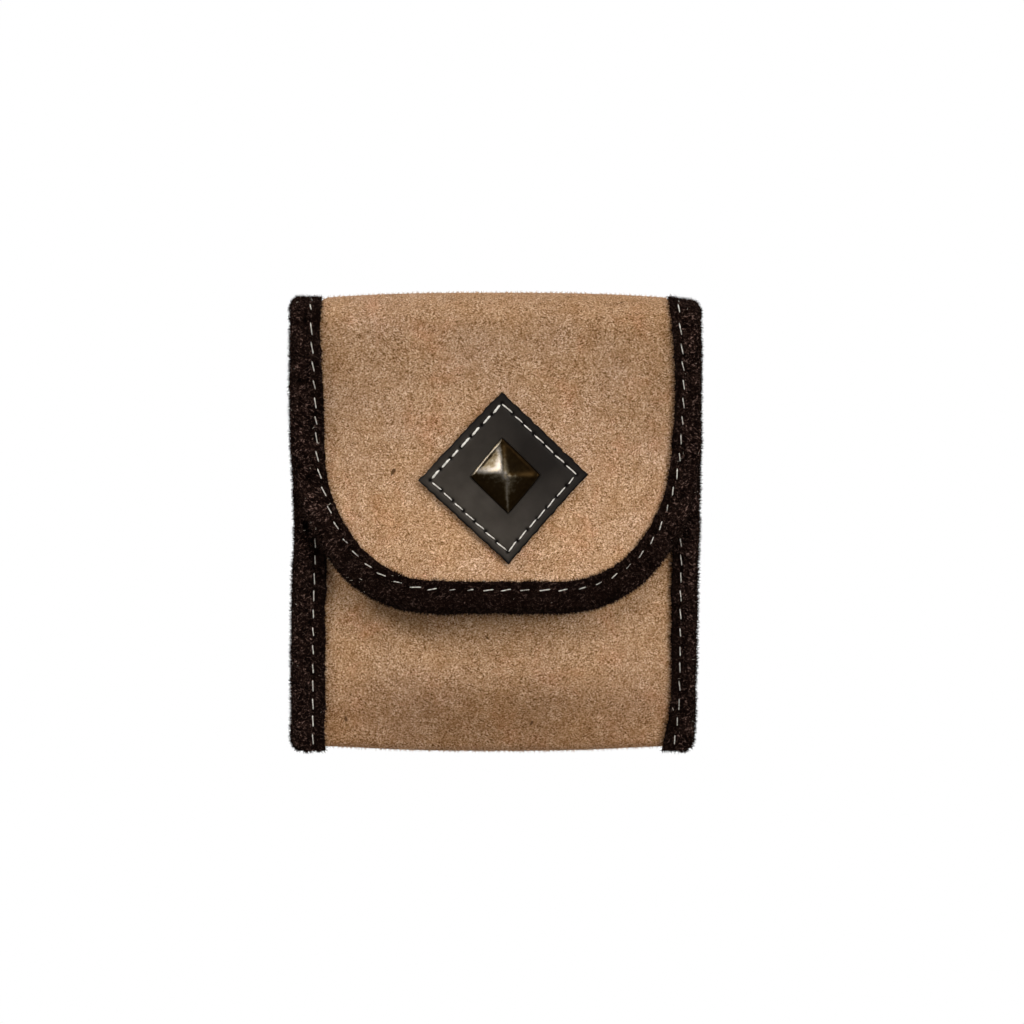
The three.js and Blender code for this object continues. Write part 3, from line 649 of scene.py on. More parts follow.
def flap_binding_pressed_and_shaded(step, row):
    """Painted shade along the flap's lower edge, which faces down, and the pressed lip inside the seam."""
    # painted shade: the downward-facing lower edge is darkened
    lower_edge_shade = LOWER_EDGE_SHADE * smooth(flap_edge(step)[3] * 1.4 - 0.3)
    return max(lower_edge_shade, pressed_lip(row, flap_seam_in(step)))


flap_binding_cut = bent_strip(EDGE_STEPS, BINDING_ROWS, flap_binding_point, mask=flap_binding_pressed_and_shaded)
flap_binding = add_piece("flap_binding_suede", flap_binding_cut, [binding_suede],
                         ["flap_binding"])


def strip_width(low, high, seam):
    """Width of a binding's strip before it is folded."""
    return run_length([binding_fold(row, low, high, seam, 1.0) for row in range(BINDING_ROWS + 1)])


flap_edge_length = run_length([flap_sheet(*flap_edge(step)[:2]) for step in range(EDGE_STEPS + 1)])
strip_width(-SEATED, SEATED, FLAP_SEAM_IN) / 1000


# Side bindings: the same dark suede folded over the front and back panels' edges together, one each side.
# Above the mouth they hold the back panel alone. Their feet hang a little below the tan panel.
SIDE_STEPS = 150
SINGLE_FROM = MOUTH_Z + 1
SINGLE_TO = MOUTH_Z + 5
FOOT_ROUND = 2.4  # the outer corner at the foot is rounded in by this much
FOOT_ROUND_UP = 3.6  # up to this height


def side_binding(side):
    def place(step, row, face):
        z = mix(0, JOIN_Z, step / SIDE_STEPS)
        both = 1 - smooth((z - SINGLE_FROM) / (SINGLE_TO - SINGLE_FROM))
        spot = binding_section(row, -SEATED, SEATED + SEAM_SPACING * both, SIDE_SEAM_IN, face)
        corner = 1 - math.sqrt(1 - (1 - clamp(z / FOOT_ROUND_UP)) ** 2)
        rounded = FOOT_ROUND * corner * smooth((spot.x + 3) / 4)
        out = spot.x - rounded + 0.2 * waves(z, row * 2, 9, 5.2 + side) + raw_edge(step, row, 4.5 + side)
        point = Vector((side * (SUEDE_HALF + out), -spot.y, z))
        lump = woolly(point, face, 4.0 * side)
        return point + Vector((side * 0.5, -1.0 if spot.y > 0 else 1.0, 0)) * lump

    def pressed(step, row):
        return pressed_lip(row, SIDE_SEAM_IN)

    return bent_strip(SIDE_STEPS, BINDING_ROWS, place, mask=pressed)


side_bindings = {}
for side, word in ((-1, "left"), (1, "right")):
    side_bindings[word] = add_piece(f"side_binding_{word}_suede", side_binding(side), [binding_suede],
                                    [f"side_binding_{word}"], "pouch")
    side_width = strip_width(-SEATED, SEATED + SEAM_SPACING, SIDE_SEAM_IN)


# Seam stitches: a running stitch of off-white waxed two-ply thread, a quarter of a millimetre thick.
# It goes through each binding, and every stitch is a short twisted length that dives into its holes.
THREAD = 0.27
PITCH = 4.65
STITCH = 3.6  # length that lies on top
STITCH_LIFT = THREAD * 0.3
SUNK = 0.18  # how deep the front seams lie in the nap,
SINK = 0.12  # how much deeper a stitch may be pulled in,
FOOT_SINK = 0.07  # and how much more along the flap's lower edge
FOLD_SHARE = 0.45  # a stitch on the fold is shortened to this share, because it bends there


def thread_material():
    material, tree, shader = new_material("waxed_thread")
    field = add_node(tree, "TexNoise", {"Vector": own_place(tree), "Scale": 2600.0, "Detail": 2.0})
    colour = add_ramp(tree, field.outputs["Fac"], [
        (0.3, (0.43, 0.395, 0.335)),
        (0.7, (0.77, 0.74, 0.675)),
    ])
    wire(tree, shader, {"Base Color": colour, "Roughness": 0.6})
    return material


thread = thread_material()


def stitch_shape(length, thick):
    """One stitch along x with z up, its ends turned down into their holes."""
    bm = bmesh.new()
    bmesh.ops.create_cone(bm, cap_ends=True, segments=8, radius1=thick / 2, radius2=thick / 2, depth=length)
    sides = [e for e in bm.edges if abs(e.verts[0].co.z - e.verts[1].co.z) > length / 2]
    bmesh.ops.subdivide_edges(bm, edges=sides, cuts=9)
    for v in bm.verts:
        t = v.co.z / (length / 2)
        angle = math.atan2(v.co.y, v.co.x) - t * 2.4
        plies = 1 + 0.2 * math.cos(2 * angle)
        thin = 1 - 0.55 * abs(t) ** 4
        drop = -0.85 * thick * abs(t) ** 3
        along = v.co.z * (1 - 0.04 * t * t)
        v.co = Vector((along, v.co.y * plies * thin, v.co.x * plies * thin + drop)) / 1000
    return finished_mesh("stitch", bm)


def turn_to(point, along, up):
    """A matrix that stands a shape at a point with its x along the seam and its z off the leather."""
    across = up.cross(along).normalized()
    along = across.cross(up).normalized()
    up = up.normalized()
    turned = Matrix((along, across, up)).transposed().to_4x4()
    turned.translation = point
    return turned


def copies(shape, places):
    """One mesh of a shape put at every place."""
    bm = bmesh.new()
    for place in places:
        copy = shape.copy()
        copy.transform(place)
        bm.from_mesh(copy)
        bpy.data.meshes.remove(copy)
    return bm


def seam_places(spot, count, seed, slant=0.09, sunk=lambda t: 0.0):
    """Places of the stitches along spot(t, height), t from 0 to 1, each one a little out of line.

    sunk(t) says how much deeper, in millimetres, a stitch may be pulled in there.
    """
    chance = random.Random(seed)
    places = []
    for k in range(count):
        t = (k + 0.5 + chance.uniform(-0.04, 0.04)) / count
        point = row_frame(spot(t, 0))
        along = row_frame(spot(t + 0.3 / count, 0)) - row_frame(spot(t - 0.3 / count, 0))
        up = row_frame(spot(t, 1)) - point
        point -= up.normalized() * (chance.uniform(0, SINK) + chance.uniform(0.3, 1) * sunk(t)) / 1000
        skew = Matrix.Rotation(slant + chance.uniform(-0.06, 0.06), 4, "Z")
        stretch = Matrix.Diagonal((chance.uniform(0.9, 1.06), 1, 1, 1))
        places.append(turn_to(point, along, up) @ skew @ stretch)
    return places


def seam_table(line, steps):
    """Lengths along a line on the flap, to lay its stitches evenly."""
    run = [0.0]
    for step in range(1, steps + 1):
        run.append(run[-1] + (flap_sheet(*line(step)) - flap_sheet(*line(step - 1))).length)
    return run


def flap_seam_line(step):
    x, q, out_x, out_q = flap_edge(step)
    return x - out_x * flap_seam_in(step), q - out_q * flap_seam_in(step)


flap_run = seam_table(flap_seam_line, EDGE_STEPS)
flap_count = round(flap_run[-1] / PITCH)


def flap_seam(side):
    """The flap's seam on its outer (-1) or inner (1) face."""
    lift = SEATED + BINDING / 2 + (STITCH_LIFT - SUNK if side < 0 else STITCH_LIFT)

    def spot(t, height):
        run = clamp(t) * flap_run[-1]
        step = next(k for k in range(EDGE_STEPS) if flap_run[k + 1] >= run or k == EDGE_STEPS - 1)
        part = (run - flap_run[step]) / (flap_run[step + 1] - flap_run[step])
        x, q = flap_seam_line(step + part)
        return raised(flap_sheet, x, q, side * (lift + height))

    return spot


SEAM_FOOT = 0.6  # lower and upper ends of the side seams
SEAM_TOP = MOUTH_Z - 1


def side_seam(side, face):
    """A side binding's seam on its front (-1) or back (1) face."""
    lift = SEATED + BINDING / 2 + (SEAM_SPACING + STITCH_LIFT - SUNK if face < 0 else STITCH_LIFT)
    x = side * (SUEDE_HALF - SIDE_SEAM_IN)

    def spot(t, height):
        return Vector((x, face * (lift + height), mix(SEAM_FOOT, SEAM_TOP, t)))

    return spot


def round_the_foot(t):
    """The stitches along the flap's lower edge are drawn deepest into the nap."""
    return FOOT_SINK * (1 - smooth((abs(t - 0.5) - 0.12) / 0.12))


long_stitch = stitch_shape(STITCH, THREAD)
flap_places = seam_places(flap_seam(-1), flap_count, 11, 0.16, round_the_foot)
flap_places += seam_places(flap_seam(1), flap_count, 12)
for k, place in enumerate(flap_places):
    if FOLD_TO < place.translation.y < FOLD_FROM:
        flap_places[k] = place @ Matrix.Diagonal((FOLD_SHARE, 1, 1, 1))
add_piece("flap_seam_thread", copies(long_stitch, flap_places), [thread], ["flap_stitching"])
side_count = round((SEAM_TOP - SEAM_FOOT) / PITCH)
for side, word in ((-1, "left"), (1, "right")):
    places = seam_places(side_seam(side, -1), side_count, 20 + side)
    places += seam_places(side_seam(side, 1), side_count, 30 + side)
    add_piece(f"side_seam_{word}_thread", copies(long_stitch, places), [thread],
              [f"side_stitching_{word}"], "pouch")


# Diamond patch: a square of smooth black leather, 1.7 mm thick, sewn on the flap corner up.
# Its cut edge is burnished round, the seam has pulled a groove into it, and each needle hole shows.
PATCH_SIDE = 30.5
PATCH_X = 2.1  # its middle, which is sewn off the bag's middle
PATCH_Z = BAG_HEIGHT - 47.4
PATCH_TURN = math.radians(45 + 2.2)  # and not quite upright
PATCH_LEATHER = 1.7
PATCH_LOW = SUEDE / 2 + SEAT
PATCH_HIGH = PATCH_LOW + PATCH_LEATHER
PATCH_SEAM = PATCH_SIDE / 2 - 2.15
PATCH_STITCHES = 7  # on each side
PATCH_PITCH = 2 * PATCH_SEAM / PATCH_STITCHES
PATCH_STITCH = 3.35
PATCH_THREAD = 0.35
GROOVE = 0.16  # how deep the seam is pulled in
HOLE = 0.5  # how deep a needle hole is
PATCH_CELLS = 110


def upright(a, b):
    """From the patch's own two directions to across and up."""
    x = a * math.cos(PATCH_TURN) - b * math.sin(PATCH_TURN)
    z = a * math.sin(PATCH_TURN) + b * math.cos(PATCH_TURN)
    return x, z


def on_patch(a, b):
    """A point of the patch on the flap's strip. It is cut by hand, so its corners are a little off."""
    x, z = upright(a, b)
    u = 2 * a / PATCH_SIDE
    v = 2 * b / PATCH_SIDE
    x += 0.38 * u * v + 0.16 * (v - u)
    z -= 0.1 * (1 - u) * (1 - v)
    return PATCH_X + x, flap_row(PATCH_Z + z)


def patch_hole(a, b):
    """How much of a needle hole there is at a point of the patch, from 0 to 1."""
    off_seam = PATCH_SEAM - max(abs(a), abs(b))
    run = (min(abs(a), abs(b)) + PATCH_SEAM) / PATCH_PITCH
    near = abs(run - round(run)) * PATCH_PITCH
    return bell(near, 0, 0.42) * bell(off_seam, 0, 0.5)


def patch_top(a, b):
    """Height of the patch's face: rounded at the edge, grooved along the seam, pierced at the holes."""
    rim = PATCH_SIDE / 2 - max(abs(a), abs(b))
    edge = 0.4 * (1 - math.sqrt(1 - (1 - clamp(rim / 0.5)) ** 2))
    groove = GROOVE * bell(rim, PATCH_SIDE / 2 - PATCH_SEAM, 0.5)
    return PATCH_HIGH - edge - groove - HOLE * patch_hole(a, b)


def patch_place(column, row):
    return (column / PATCH_CELLS - 0.5) * PATCH_SIDE, (row / PATCH_CELLS - 0.5) * PATCH_SIDE


def patch_point(column, row, face):
    a, b = patch_place(column, row)
    ragged = 1 + 0.012 * waves(a, b, 1.5, 2.2) * smooth((max(abs(a), abs(b)) - 14) / 1.2)
    return raised(flap_sheet, *on_patch(a * ragged, b * ragged), -(patch_top(a, b) if face else PATCH_LOW))


def black_leather():
    """Smooth dyed leather with a fine grain, with a painted sheen where "mask" is high and painted shade
    where it is low, black where "cut" is.
    """
    material, tree, shader = new_material("black_leather")
    position = own_place(tree)
    grain = add_node(tree, "TexVoronoi", {"Vector": position, "Scale": 1500.0}, feature="SMOOTH_F1")
    cloud = add_node(tree, "TexNoise", {"Vector": position, "Scale": 160.0, "Detail": 4.0})
    dye = add_ramp(tree, cloud.outputs["Fac"], [
        (0.3, (0.017, 0.0135, 0.0105)),
        (0.7, (0.028, 0.0228, 0.0182)),
    ])
    # painted sheen and shadow: the mask lightens or darkens the dye
    shade = add_ramp(tree, painted(tree, "mask"), [
        (0.0, (0.28, 0.24, 0.21)),
        (1.0, (1.8, 1.86, 1.9)),
    ])
    sheen_and_shadow_dye = blended(tree, 1.0, dye, shade, "MULTIPLY")
    cut = painted(tree, "cut")
    gloss = add_node(tree, "MapRange", {"Value": cut, "To Min": 0.5, "To Max": 0.9})
    bump = add_node(tree, "Bump", {"Height": grain.outputs["Distance"], "Strength": 0.1, "Distance": 0.0002})
    wire(tree, shader, {
        "Base Color": blended(tree, cut, sheen_and_shadow_dye, (0.0015, 0.001, 0.0008, 1)),
        "Roughness": gloss.outputs["Result"],
        "Normal": bump.outputs["Normal"],
        "Specular IOR Level": 0.08,
    })
    return material


def patch_sheen_and_shadow(column, row):
    """Painted sheen on the patch: lighter below and to the left of the stud, darker above and to the right
    of it, with a painted shadow of the stud there.
    """
    x, z = upright(column / PATCH_CELLS * 2 - 1, row / PATCH_CELLS * 2 - 1)
    # painted shadow cast by the stud
    stud_shadow = bell(x, 0.52, 0.3) * bell(z, 0.3, 0.3)
    return clamp(0.52 - 0.34 * x - 0.38 * z - 0.55 * stud_shadow)


def patch_edge_and_hole_shade(column, row):
    """The dyed cut edge, darkened a little further in as painted shade, and painted shade in the needle
    holes.
    """
    a, b = patch_place(column, row)
    rim = PATCH_SIDE / 2 - max(abs(a), abs(b))
    border = 0.4 * (1 - smooth((rim - 0.9) / 0.8)) + 0.6 * (1 - smooth(rim / 0.75))
    # painted shade in the holes; dye and painted shade along the edge
    return clamp(patch_hole(a, b) * 1.6 + border)


patch_cut = bent_strip(PATCH_CELLS, PATCH_CELLS, patch_point, mask=patch_sheen_and_shadow, cut=patch_edge_and_hole_shade)
patch = add_piece("diamond_patch_leather", patch_cut, [black_leather()],
                  ["diamond_patch"], "flap")


def patch_seam(t, height):
    """The seam runs once round the patch as t goes from 0 to 1."""
    along = (t % 1.0) * 4
    reach = mix(-PATCH_SEAM, PATCH_SEAM, along % 1)
    sides = ((reach, -PATCH_SEAM), (PATCH_SEAM, reach), (-reach, PATCH_SEAM), (-PATCH_SEAM, -reach))
    lift = PATCH_HIGH - GROOVE + STITCH_LIFT
    return raised(flap_sheet, *on_patch(*sides[int(along)]), -(lift + height))


short_stitch = stitch_shape(PATCH_STITCH, PATCH_THREAD)
patch_places = seam_places(patch_seam, 4 * PATCH_STITCHES, 41, 0.06)
LOOSER = Matrix.Diagonal((1, 1.6, 1.2, 1))  # the upper left side is sewn looser, so its thread is plumper
for k in range(2 * PATCH_STITCHES, 3 * PATCH_STITCHES):
    patch_places[k] = patch_places[k] @ LOOSER
add_piece("patch_seam_thread", copies(short_stitch, patch_places), [thread],
          ["patch_stitching"], "flap")


# Pyramid stud: a half-inch square cap pressed from antiqued brass sheet, the front of the press stud.
# Its four faces are a little hollow and its ridges soft; it is lighter on ridges and tip, partly worn and
# partly a painted highlight, with a painted highlight on the upper left face and rim.
STUD_SIDE = 12.9
STUD_LONG = 13.6  # it is pressed a little longer one way, and a little out of square
STUD_ACROSS = math.radians(50.2)
STUD_ALONG = math.radians(135.7)
STUD_X = PATCH_X + 0.43  # and it isn't quite in the middle of the patch
STUD_Z = PATCH_Z + 0.45
STUD_HEIGHT = 6.3  # of the sharp pyramid, before its ridges and tip are rounded off
STUD_RIM = 0.8  # height of the upright rim
STUD_HOLLOW = 0.6  # how hollow the faces are
STUD_ROUNDED_FROM = STUD_RIM + 0.25  # above this height it is rounded off, in this many rounds
STUD_ROUNDING = 300
STUD_CELLS = 84
STUD_SUNK = 0.1  # how deep it is pressed into the patch
stud_seat = flap_sheet(PATCH_X, flap_row(PATCH_Z)).y - PATCH_HIGH + STUD_SUNK


def stud_height(a, b):
    """Height of a sharp pyramid with hollow faces at (a, b), each from -1 to 1 across the cap."""
    out = min(0.999, max(abs(a), abs(b)))
    across = min(abs(a), abs(b)) / max(out, 0.001)
    shoulder = 0.5 * math.sqrt(clamp((1 - out) / 0.07)) - 0.5
    return mix(STUD_RIM, STUD_HEIGHT, (1 - out) ** (1.1 + STUD_HOLLOW * (1 - across ** 2))) + shoulder


def stud_place(column, row):
    return column / STUD_CELLS * 2 - 1, row / STUD_CELLS * 2 - 1


def stud_point(column, row, face):
    a, b = stud_place(column, row)
    corner = 1.012 - 0.016 * (abs(a) * abs(b)) ** 6
    u = a * corner * STUD_SIDE / 2
    v = b * corner * STUD_LONG / 2
    x = u * math.cos(STUD_ACROSS) + v * math.cos(STUD_ALONG)
    z = u * math.sin(STUD_ACROSS) + v * math.sin(STUD_ALONG)
    rise = stud_height(a, b) if face else 0
    return Vector((STUD_X + x, stud_seat - rise, STUD_Z + z))


def stud_wear_and_highlight(column, row):
    """Lighter round the tip and on the ridges, partly worn and partly a painted highlight; a painted
    highlight on the upper left face and rim, and a painted reflection down the lower ridge.
    """
    a, b = stud_place(column, row)
    out = min(1.0, max(abs(a), abs(b)))
    ridge = abs(a) - abs(b)
    # ridges lighter: partly wear, partly a painted highlight
    ridges = 0 if a > 0 > b else 0.07 * bell(ridge, 0, 0.3) * math.sqrt(1 - out)
    # painted reflection down the lower ridge
    ridge_reflection = 0.13 * bell(ridge, 0, 0.07) * clamp(-4 * a) * clamp(-4 * b) * smooth((out - 0.25) / 0.3)
    # round the tip: partly wear, partly a painted highlight
    round_tip = (0.1 + 0.09 * smooth(0.5 - (b + abs(a)) / 0.2)) * (1 - out) ** 1.5
    tip = 0.14 * bell(out, 0, 0.1)
    # painted highlight: a crescent on the upper left face
    hollow = bell(math.hypot(a, 1 - b), 0.58, 0.13)
    painted_highlight = smooth((b - abs(a) - 0.03) / 0.16) * (0.118 + 0.1 * hollow)
    # painted highlight along the upper left rim
    rim = 0.3 * smooth((b - abs(a)) / 0.1) * bell(b, 0.975, 0.022)
    return clamp(ridges + ridge_reflection + round_tip + tip + painted_highlight + rim)


def antique_brass():
    """Brass under a dark brown patina, lighter where "mask" is high: worn, and on the cap also a painted
    highlight.
    """
    material, tree, shader = new_material("antique_brass")
    grain = {"Vector": own_place(tree), "Scale": 900.0, "Detail": 5.0, "Roughness": 0.6}
    cloud = add_node(tree, "TexNoise", grain).outputs["Fac"]
    shade = add_node(tree, "Math", {0: cloud, 1: 0.3, 2: painted(tree, "mask")}, operation="MULTIPLY_ADD")
    colour = add_ramp(tree, shade.outputs[0], [
        (0.08, (0.0052, 0.0025, 0.0007)),
        (0.22, (0.0108, 0.0062, 0.0021)),
        (0.3, (0.04, 0.031, 0.019)),
        (0.4, (0.095, 0.083, 0.071)),
        (1.0, (0.55, 0.41, 0.2)),
    ])
    spread = {"Value": cloud, "From Min": 0.3, "From Max": 0.7, "To Min": 0.28, "To Max": 0.35}
    gloss = add_node(tree, "MapRange", spread).outputs["Result"]
    wire(tree, shader, {"Base Color": colour, "Roughness": gloss, "Metallic": 1.0})
    return material


brass = antique_brass()
stud_cut = bent_strip(STUD_CELLS, STUD_CELLS, stud_point, mask=stud_wear_and_highlight)
slopes = [v for v in stud_cut.verts if (stud_seat - BELT_Y) / 1000 - v.co.y > STUD_ROUNDED_FROM / 1000]
for k in range(STUD_ROUNDING):
    bmesh.ops.smooth_vert(stud_cut, verts=slopes, factor=0.5, use_axis_y=True)
add_piece("pyramid_stud_cap", stud_cut, [brass], ["pyramid_stud"], "flap")


# Press stud under the flap: a brass socket held by the cap's post, and a ball riveted to the front panel.
# They are turned round pieces with rounded rims, seen only with the flap open.
ROUND_STEPS = 48
TURNED_WEAR = 0.45  # their patina is worn evenly


def turned_piece(profile):
    """A round piece about the press stud's level axis, from (radius, y) points."""
    bm = bmesh.new()
    line = [bm.verts.new(row_frame(Vector((PATCH_X + radius, y, PATCH_Z)))) for radius, y in profile]
    edges = [bm.edges.new(pair) for pair in zip(line, line[1:])]
    axis = row_frame(Vector((PATCH_X, 0, PATCH_Z)))
    bmesh.ops.spin(bm, geom=line + edges, cent=axis, axis=(0, 1, 0), angle=2 * math.pi,
                   steps=ROUND_STEPS, use_merge=True)
    bmesh.ops.remove_doubles(bm, verts=bm.verts, dist=1e-6)
    bmesh.ops.recalc_face_normals(bm, faces=bm.faces)
    put_in_order(bm)
    worn = bm.verts.layers.float.new("mask")
    for v in bm.verts:
        v[worn] = TURNED_WEAR
    return bm


flap_inner = flap_sheet(PATCH_X + 6, flap_row(PATCH_Z)).y + SUEDE / 2 + SEAT
front_outer = -panel_gap(PATCH_X, PATCH_Z) - SUEDE / 2 - SEAT
front_inner = -panel_gap(PATCH_X + 5, PATCH_Z) + SUEDE / 2 + SEAT
socket_rim = flap_inner + 2.5
socket = [
    (0, flap_inner), (5.6, flap_inner), (6, flap_inner + 0.4), (6, socket_rim - 0.5),
    (5.85, socket_rim - 0.15), (5.5, socket_rim), (4.7, socket_rim), (4.35, socket_rim - 0.15),
    (4.2, socket_rim - 0.5),
    (4.2, flap_inner + 0.7), (1.6, flap_inner + 0.7), (1.3, flap_inner + 1.0), (0, flap_inner + 1.1),
]
add_piece("snap_socket_brass", turned_piece(socket), [brass], ["snap_socket"], "flap")
ball = [
    (0, front_outer), (4.8, front_outer), (5, front_outer - 0.25), (4.8, front_outer - 0.6),
    (4.4, front_outer - 0.8), (2.5, front_outer - 0.9), (2.25, front_outer - 1.1), (2.5, front_outer - 1.5),
    (2.7, front_outer - 1.9), (2.55, front_outer - 2.25), (2.1, front_outer - 2.45), (0, front_outer - 2.5),
]
add_piece("snap_ball_brass", turned_piece(ball), [brass], ["snap_stud"], "pouch")
head = [
    (0, front_inner), (4.8, front_inner), (5, front_inner + 0.2), (4.8, front_inner + 0.6),
    (4.2, front_inner + 0.8), (0, front_inner + 0.95),
]
add_piece("snap_post_head", turned_piece(head), [brass], ["snap_post"], "pouch")


# Belt loops: two straps of the dark suede sewn to the back at both ends, standing off between for the belt.
# Their cut edges are pressed thin, and one short row of stitches holds each end.
LOOP_WIDTH = 20.0
LOOP_SPACING = 46.0  # between the middles of the two loops
LOOP_LEATHER = 1.6
LOOP_THIN = 0.6  # share of the thickness left at the cut edge
LOOP_TAB = 8.0  # sewn end
LOOP_RISE = 6.0  # length of the slope between a sewn end and the part that clears the belt
LOOP_STITCHES = 4
BELT_HEIGHT = 40.0  # clear height and thickness for the belt
BELT_ROOM = 5.6
LOOP_ROWS = 72
LOOP_COLUMNS = 20
LOOP_LENGTH = BELT_HEIGHT + 2 * (LOOP_RISE + LOOP_TAB)


def loop_sheet(x, row):
    away = abs(row / LOOP_ROWS - 0.5) * LOOP_LENGTH
    part = (away - BELT_HEIGHT / 2) / LOOP_RISE
    low = SUEDE / 2 + SEAT + LOOP_LEATHER / 2
    high = SUEDE / 2 + BELT_ROOM + LOOP_LEATHER / 2
    z = BELT_Z + (row / LOOP_ROWS - 0.5) * LOOP_LENGTH
    return Vector((x, mix(high, low, smooth(part)), z))


def belt_loop(side):
    def place(column, row, face):
        rim = min(column, LOOP_COLUMNS - column, row, LOOP_ROWS - row)
        thick = LOOP_LEATHER * (LOOP_THIN if rim < 0.5 else 1.0)
        x = side * LOOP_SPACING / 2 + (column / LOOP_COLUMNS - 0.5) * LOOP_WIDTH
        return raised(loop_sheet, x, row, -(face - 0.5) * thick)

    return bent_strip(LOOP_COLUMNS, LOOP_ROWS, place)


def loop_seam(side, end):
    def spot(t, height):
        x = side * LOOP_SPACING / 2 + mix(-1, 1, t) * (LOOP_WIDTH / 2 - 2)
        lift = SUEDE / 2 + SEAT + LOOP_LEATHER + STITCH_LIFT
        return Vector((x, lift + height, BELT_Z + end * (LOOP_LENGTH / 2 - LOOP_TAB / 2)))

    return spot


loops = {}
for side, word in ((-1, "left"), (1, "right")):
    loop = add_piece(f"belt_loop_{word}_suede", belt_loop(side), [binding_suede],
                     [f"belt_loop_{word}"], "pouch")
    loops[word] = loop
    strap_length = run_length([loop_sheet(0, row) for row in range(LOOP_ROWS + 1)])
    for end, level in ((1, "top"), (-1, "bottom")):
        places = seam_places(loop_seam(side, end), LOOP_STITCHES, 50 + side + 2 * end)
        add_piece(f"loop_seam_{word}_{level}_thread", copies(short_stitch, places), [thread],
                  [f"loop_stitching_{word}_{level}"], "pouch")


# Loose nap: single fibres that stand off the suede, thick on bindings and loops and sparse on the tan edges.
# The suede is split leather, so they are its own fibres, some of them rubbed paler than the rest.
FIBRE_SHARES = (64, 36, 0.5)  # of plain fibres, rubbed ones and stray lint
FOLD_NEAR = 0.0008  # this near to the fold (metres) fibres lie along it and are thinner, because it opens
FOLD_THIN = 0.65


def fibre_shape(look):
    """A thin tapered fibre one unit long and thick, standing on z."""
    bm = bmesh.new()
    bmesh.ops.create_cone(bm, cap_ends=False, segments=3, radius1=0.5, radius2=0.15, depth=1)
    bmesh.ops.translate(bm, verts=bm.verts, vec=(0, 0, 0.5))
    for face in bm.faces:
        face.material_index = look
    return finished_mesh("fibre", bm)


def plain_fibre(name, colour):
    material, tree, shader = new_material(name)
    wire(tree, shader, {"Base Color": (*colour, 1), "Roughness": 0.9, "Specular IOR Level": 0.02})
    return material


def loose_nap(name, source, count, length, thick, seed, looks, body=None, wanted=None):
    """Fibres on a piece's outer faces, denser towards its edges, where wanted(middle, normal) allows."""
    chance = random.Random(seed)
    outer = source.data.attributes["outer"].data
    faces = [f for f in source.data.polygons if outer[f.index].value]
    faces = [f for f in faces if wanted is None or wanted(f.center, f.normal)]
    weights = [f.area * (1 + 3 * (1 - abs(f.normal.y))) for f in faces]
    picked = chance.choices(faces, weights=weights, k=count)
    places = [[] for look in looks]
    for face in picked:
        corners = [source.data.vertices[k].co for k in face.vertices]
        point = corners[0].lerp(corners[1], chance.random()).lerp(corners[2], chance.random() * 0.6)
        way = face.normal + Vector([chance.uniform(-0.9, 0.9) for k in range(3)])
        long = chance.uniform(0.35, 1.0) ** 1.6 * length / 1000
        wide = chance.uniform(0.6, 1.1) * thick / 1000
        if not body and FOLD_TO - FOLD_NEAR < point.y < FOLD_FROM + FOLD_NEAR:
            way.y = 0
            wide *= FOLD_THIN
        size = Matrix.Diagonal((wide, wide, long, 1))
        turn = way.to_track_quat("Z", "X").to_matrix().to_4x4()
        look = chance.choices(range(len(looks)), weights=FIBRE_SHARES[:len(looks)])[0]
        places[look].append(Matrix.Translation(point) @ turn @ size)
    bm = bmesh.new()
    for look, found in enumerate(places):
        bm.from_mesh(finished_mesh("part", copies(fibre_shape(look), found)))
    return add_piece(name, bm, looks, (), body)


dark_fibres = [
    plain_fibre("dark_fibre", (0.005, 0.0026, 0.0018)),
    plain_fibre("dark_fibre_rubbed", (0.03, 0.0165, 0.012)),
    plain_fibre("stray_lint", (0.42, 0.37, 0.31)),
]
tan_fibres = [
    plain_fibre("tan_fibre", (0.38, 0.22, 0.115)),
    plain_fibre("tan_fibre_rubbed", (0.62, 0.4, 0.24)),
]
loose_nap("flap_binding_nap", flap_binding, 24000, 1.0, 0.17, 61, dark_fibres)
for word in ("left", "right"):
    loose_nap(f"side_binding_{word}_nap", side_bindings[word], 11000, 1.0, 0.17, 62, dark_fibres,
              "pouch")
    loose_nap(f"belt_loop_{word}_nap", loops[word], 4500, 0.7, 0.15, 65, dark_fibres, "pouch")
loose_nap("flap_fold_nap", flap, 3000, 0.75, 0.13, 63, tan_fibres, None,
          lambda middle, normal: normal.z > 0.6 and abs(middle.x) < 0.0455)
loose_nap("pouch_foot_nap", pouch, 2600, 0.75, 0.13, 64, tan_fibres, "pouch",
          lambda middle, normal: normal.z < -0.6 and middle.z < -0.06)


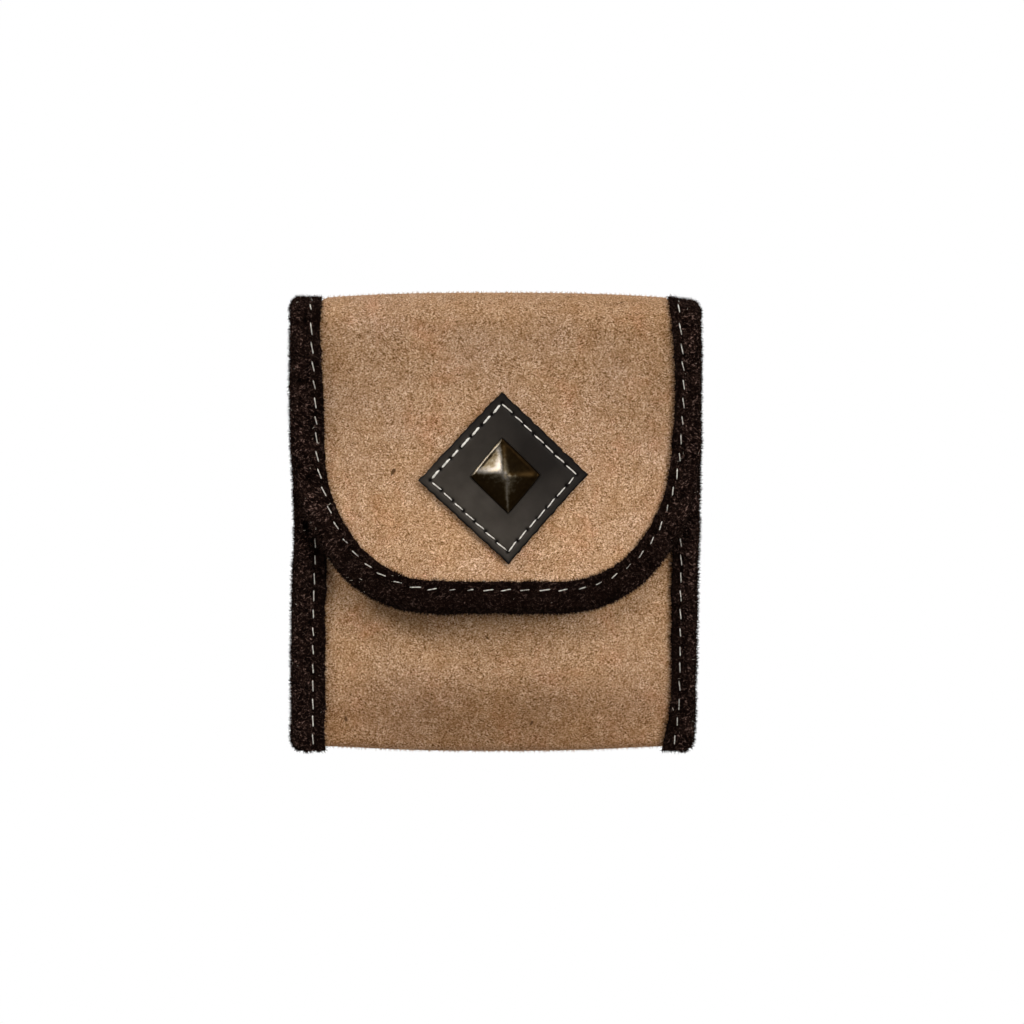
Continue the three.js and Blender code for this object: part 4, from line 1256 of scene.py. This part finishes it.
# Stage: a pale floor well below the hanging bag, a white surround, and a long lens straight in front.
# A big soft lamp stands high in front, a weaker one low on the right, a small one high on the left for the
# stud's glint, and one behind for the back.
def seen_ray(tree):
    """1 for a ray that shows the surround to the camera, straight or mirrored, and 0 for other light."""
    path = add_node(tree, "LightPath").outputs
    seen = path["Is Camera Ray"]
    for kind in ("Is Glossy Ray", "Is Transmission Ray"):
        seen = add_node(tree, "Math", {0: seen, 1: path[kind]}, operation="MAXIMUM").outputs[0]
    return seen


def stage():
    scene = bpy.context.scene
    bm = bmesh.new()
    bmesh.ops.create_grid(bm, x_segments=1, y_segments=1, size=3.9)
    bmesh.ops.translate(bm, verts=bm.verts, vec=(0, 0, -0.42))
    floor = placed("floor", finished_mesh("floor", bm))
    floor_look, tree, shader = new_material("pale_floor")
    lit = add_node(tree, "MapRange", {"Value": seen_ray(tree), "To Max": 0.4})
    wire(tree, shader, {
        "Base Color": (0.8, 0.8, 0.8, 1),
        "Roughness": 0.9,
        "Emission Color": (1, 1, 1, 1),
        "Emission Strength": lit.outputs["Result"],
    })
    floor.data.materials.append(floor_look)

    world = bpy.data.worlds.new("studio")
    scene.world = world
    world.use_nodes = True
    tree = world.node_tree
    strength = add_node(tree, "MapRange", {"Value": seen_ray(tree), "To Min": 0.24, "To Max": 1.0})
    wire(tree, tree.nodes["Background"], {"Color": (1, 1, 1, 1), "Strength": strength.outputs["Result"]})

    def lamp(name, place, size, power, spread):
        light = bpy.data.lights.new(name, "AREA")
        light.size = size
        light.spread = math.radians(spread)
        light.energy = power
        made = placed(name, light)
        made.location = place
        made.rotation_mode = "QUATERNION"
        made.rotation_quaternion = (-Vector(place)).to_track_quat("-Z", "Y")

    lamp("key", (0.1, -1.1, 1.1), 1.4, 2.8, 45)
    lamp("glint", (-1.0, -0.45, 0.93), 0.4, 0.7, 40)
    lamp("fill", (1.15, -1.15, 0.35), 1.0, 2.05, 45)
    lamp("back", (0.5, 1.1, 0.9), 0.7, 0.8, 45)

    camera = bpy.data.cameras.new("camera")
    camera.lens = 277
    camera.sensor_width = 36
    camera.clip_end = 20
    eye = placed("camera", camera)
    eye.location = (0.0042, -2.016, -0.0081)
    eye.rotation_euler = (math.pi / 2, 0, 0)
    scene.camera = eye
    scene.view_settings.view_transform = "Standard"


stage()
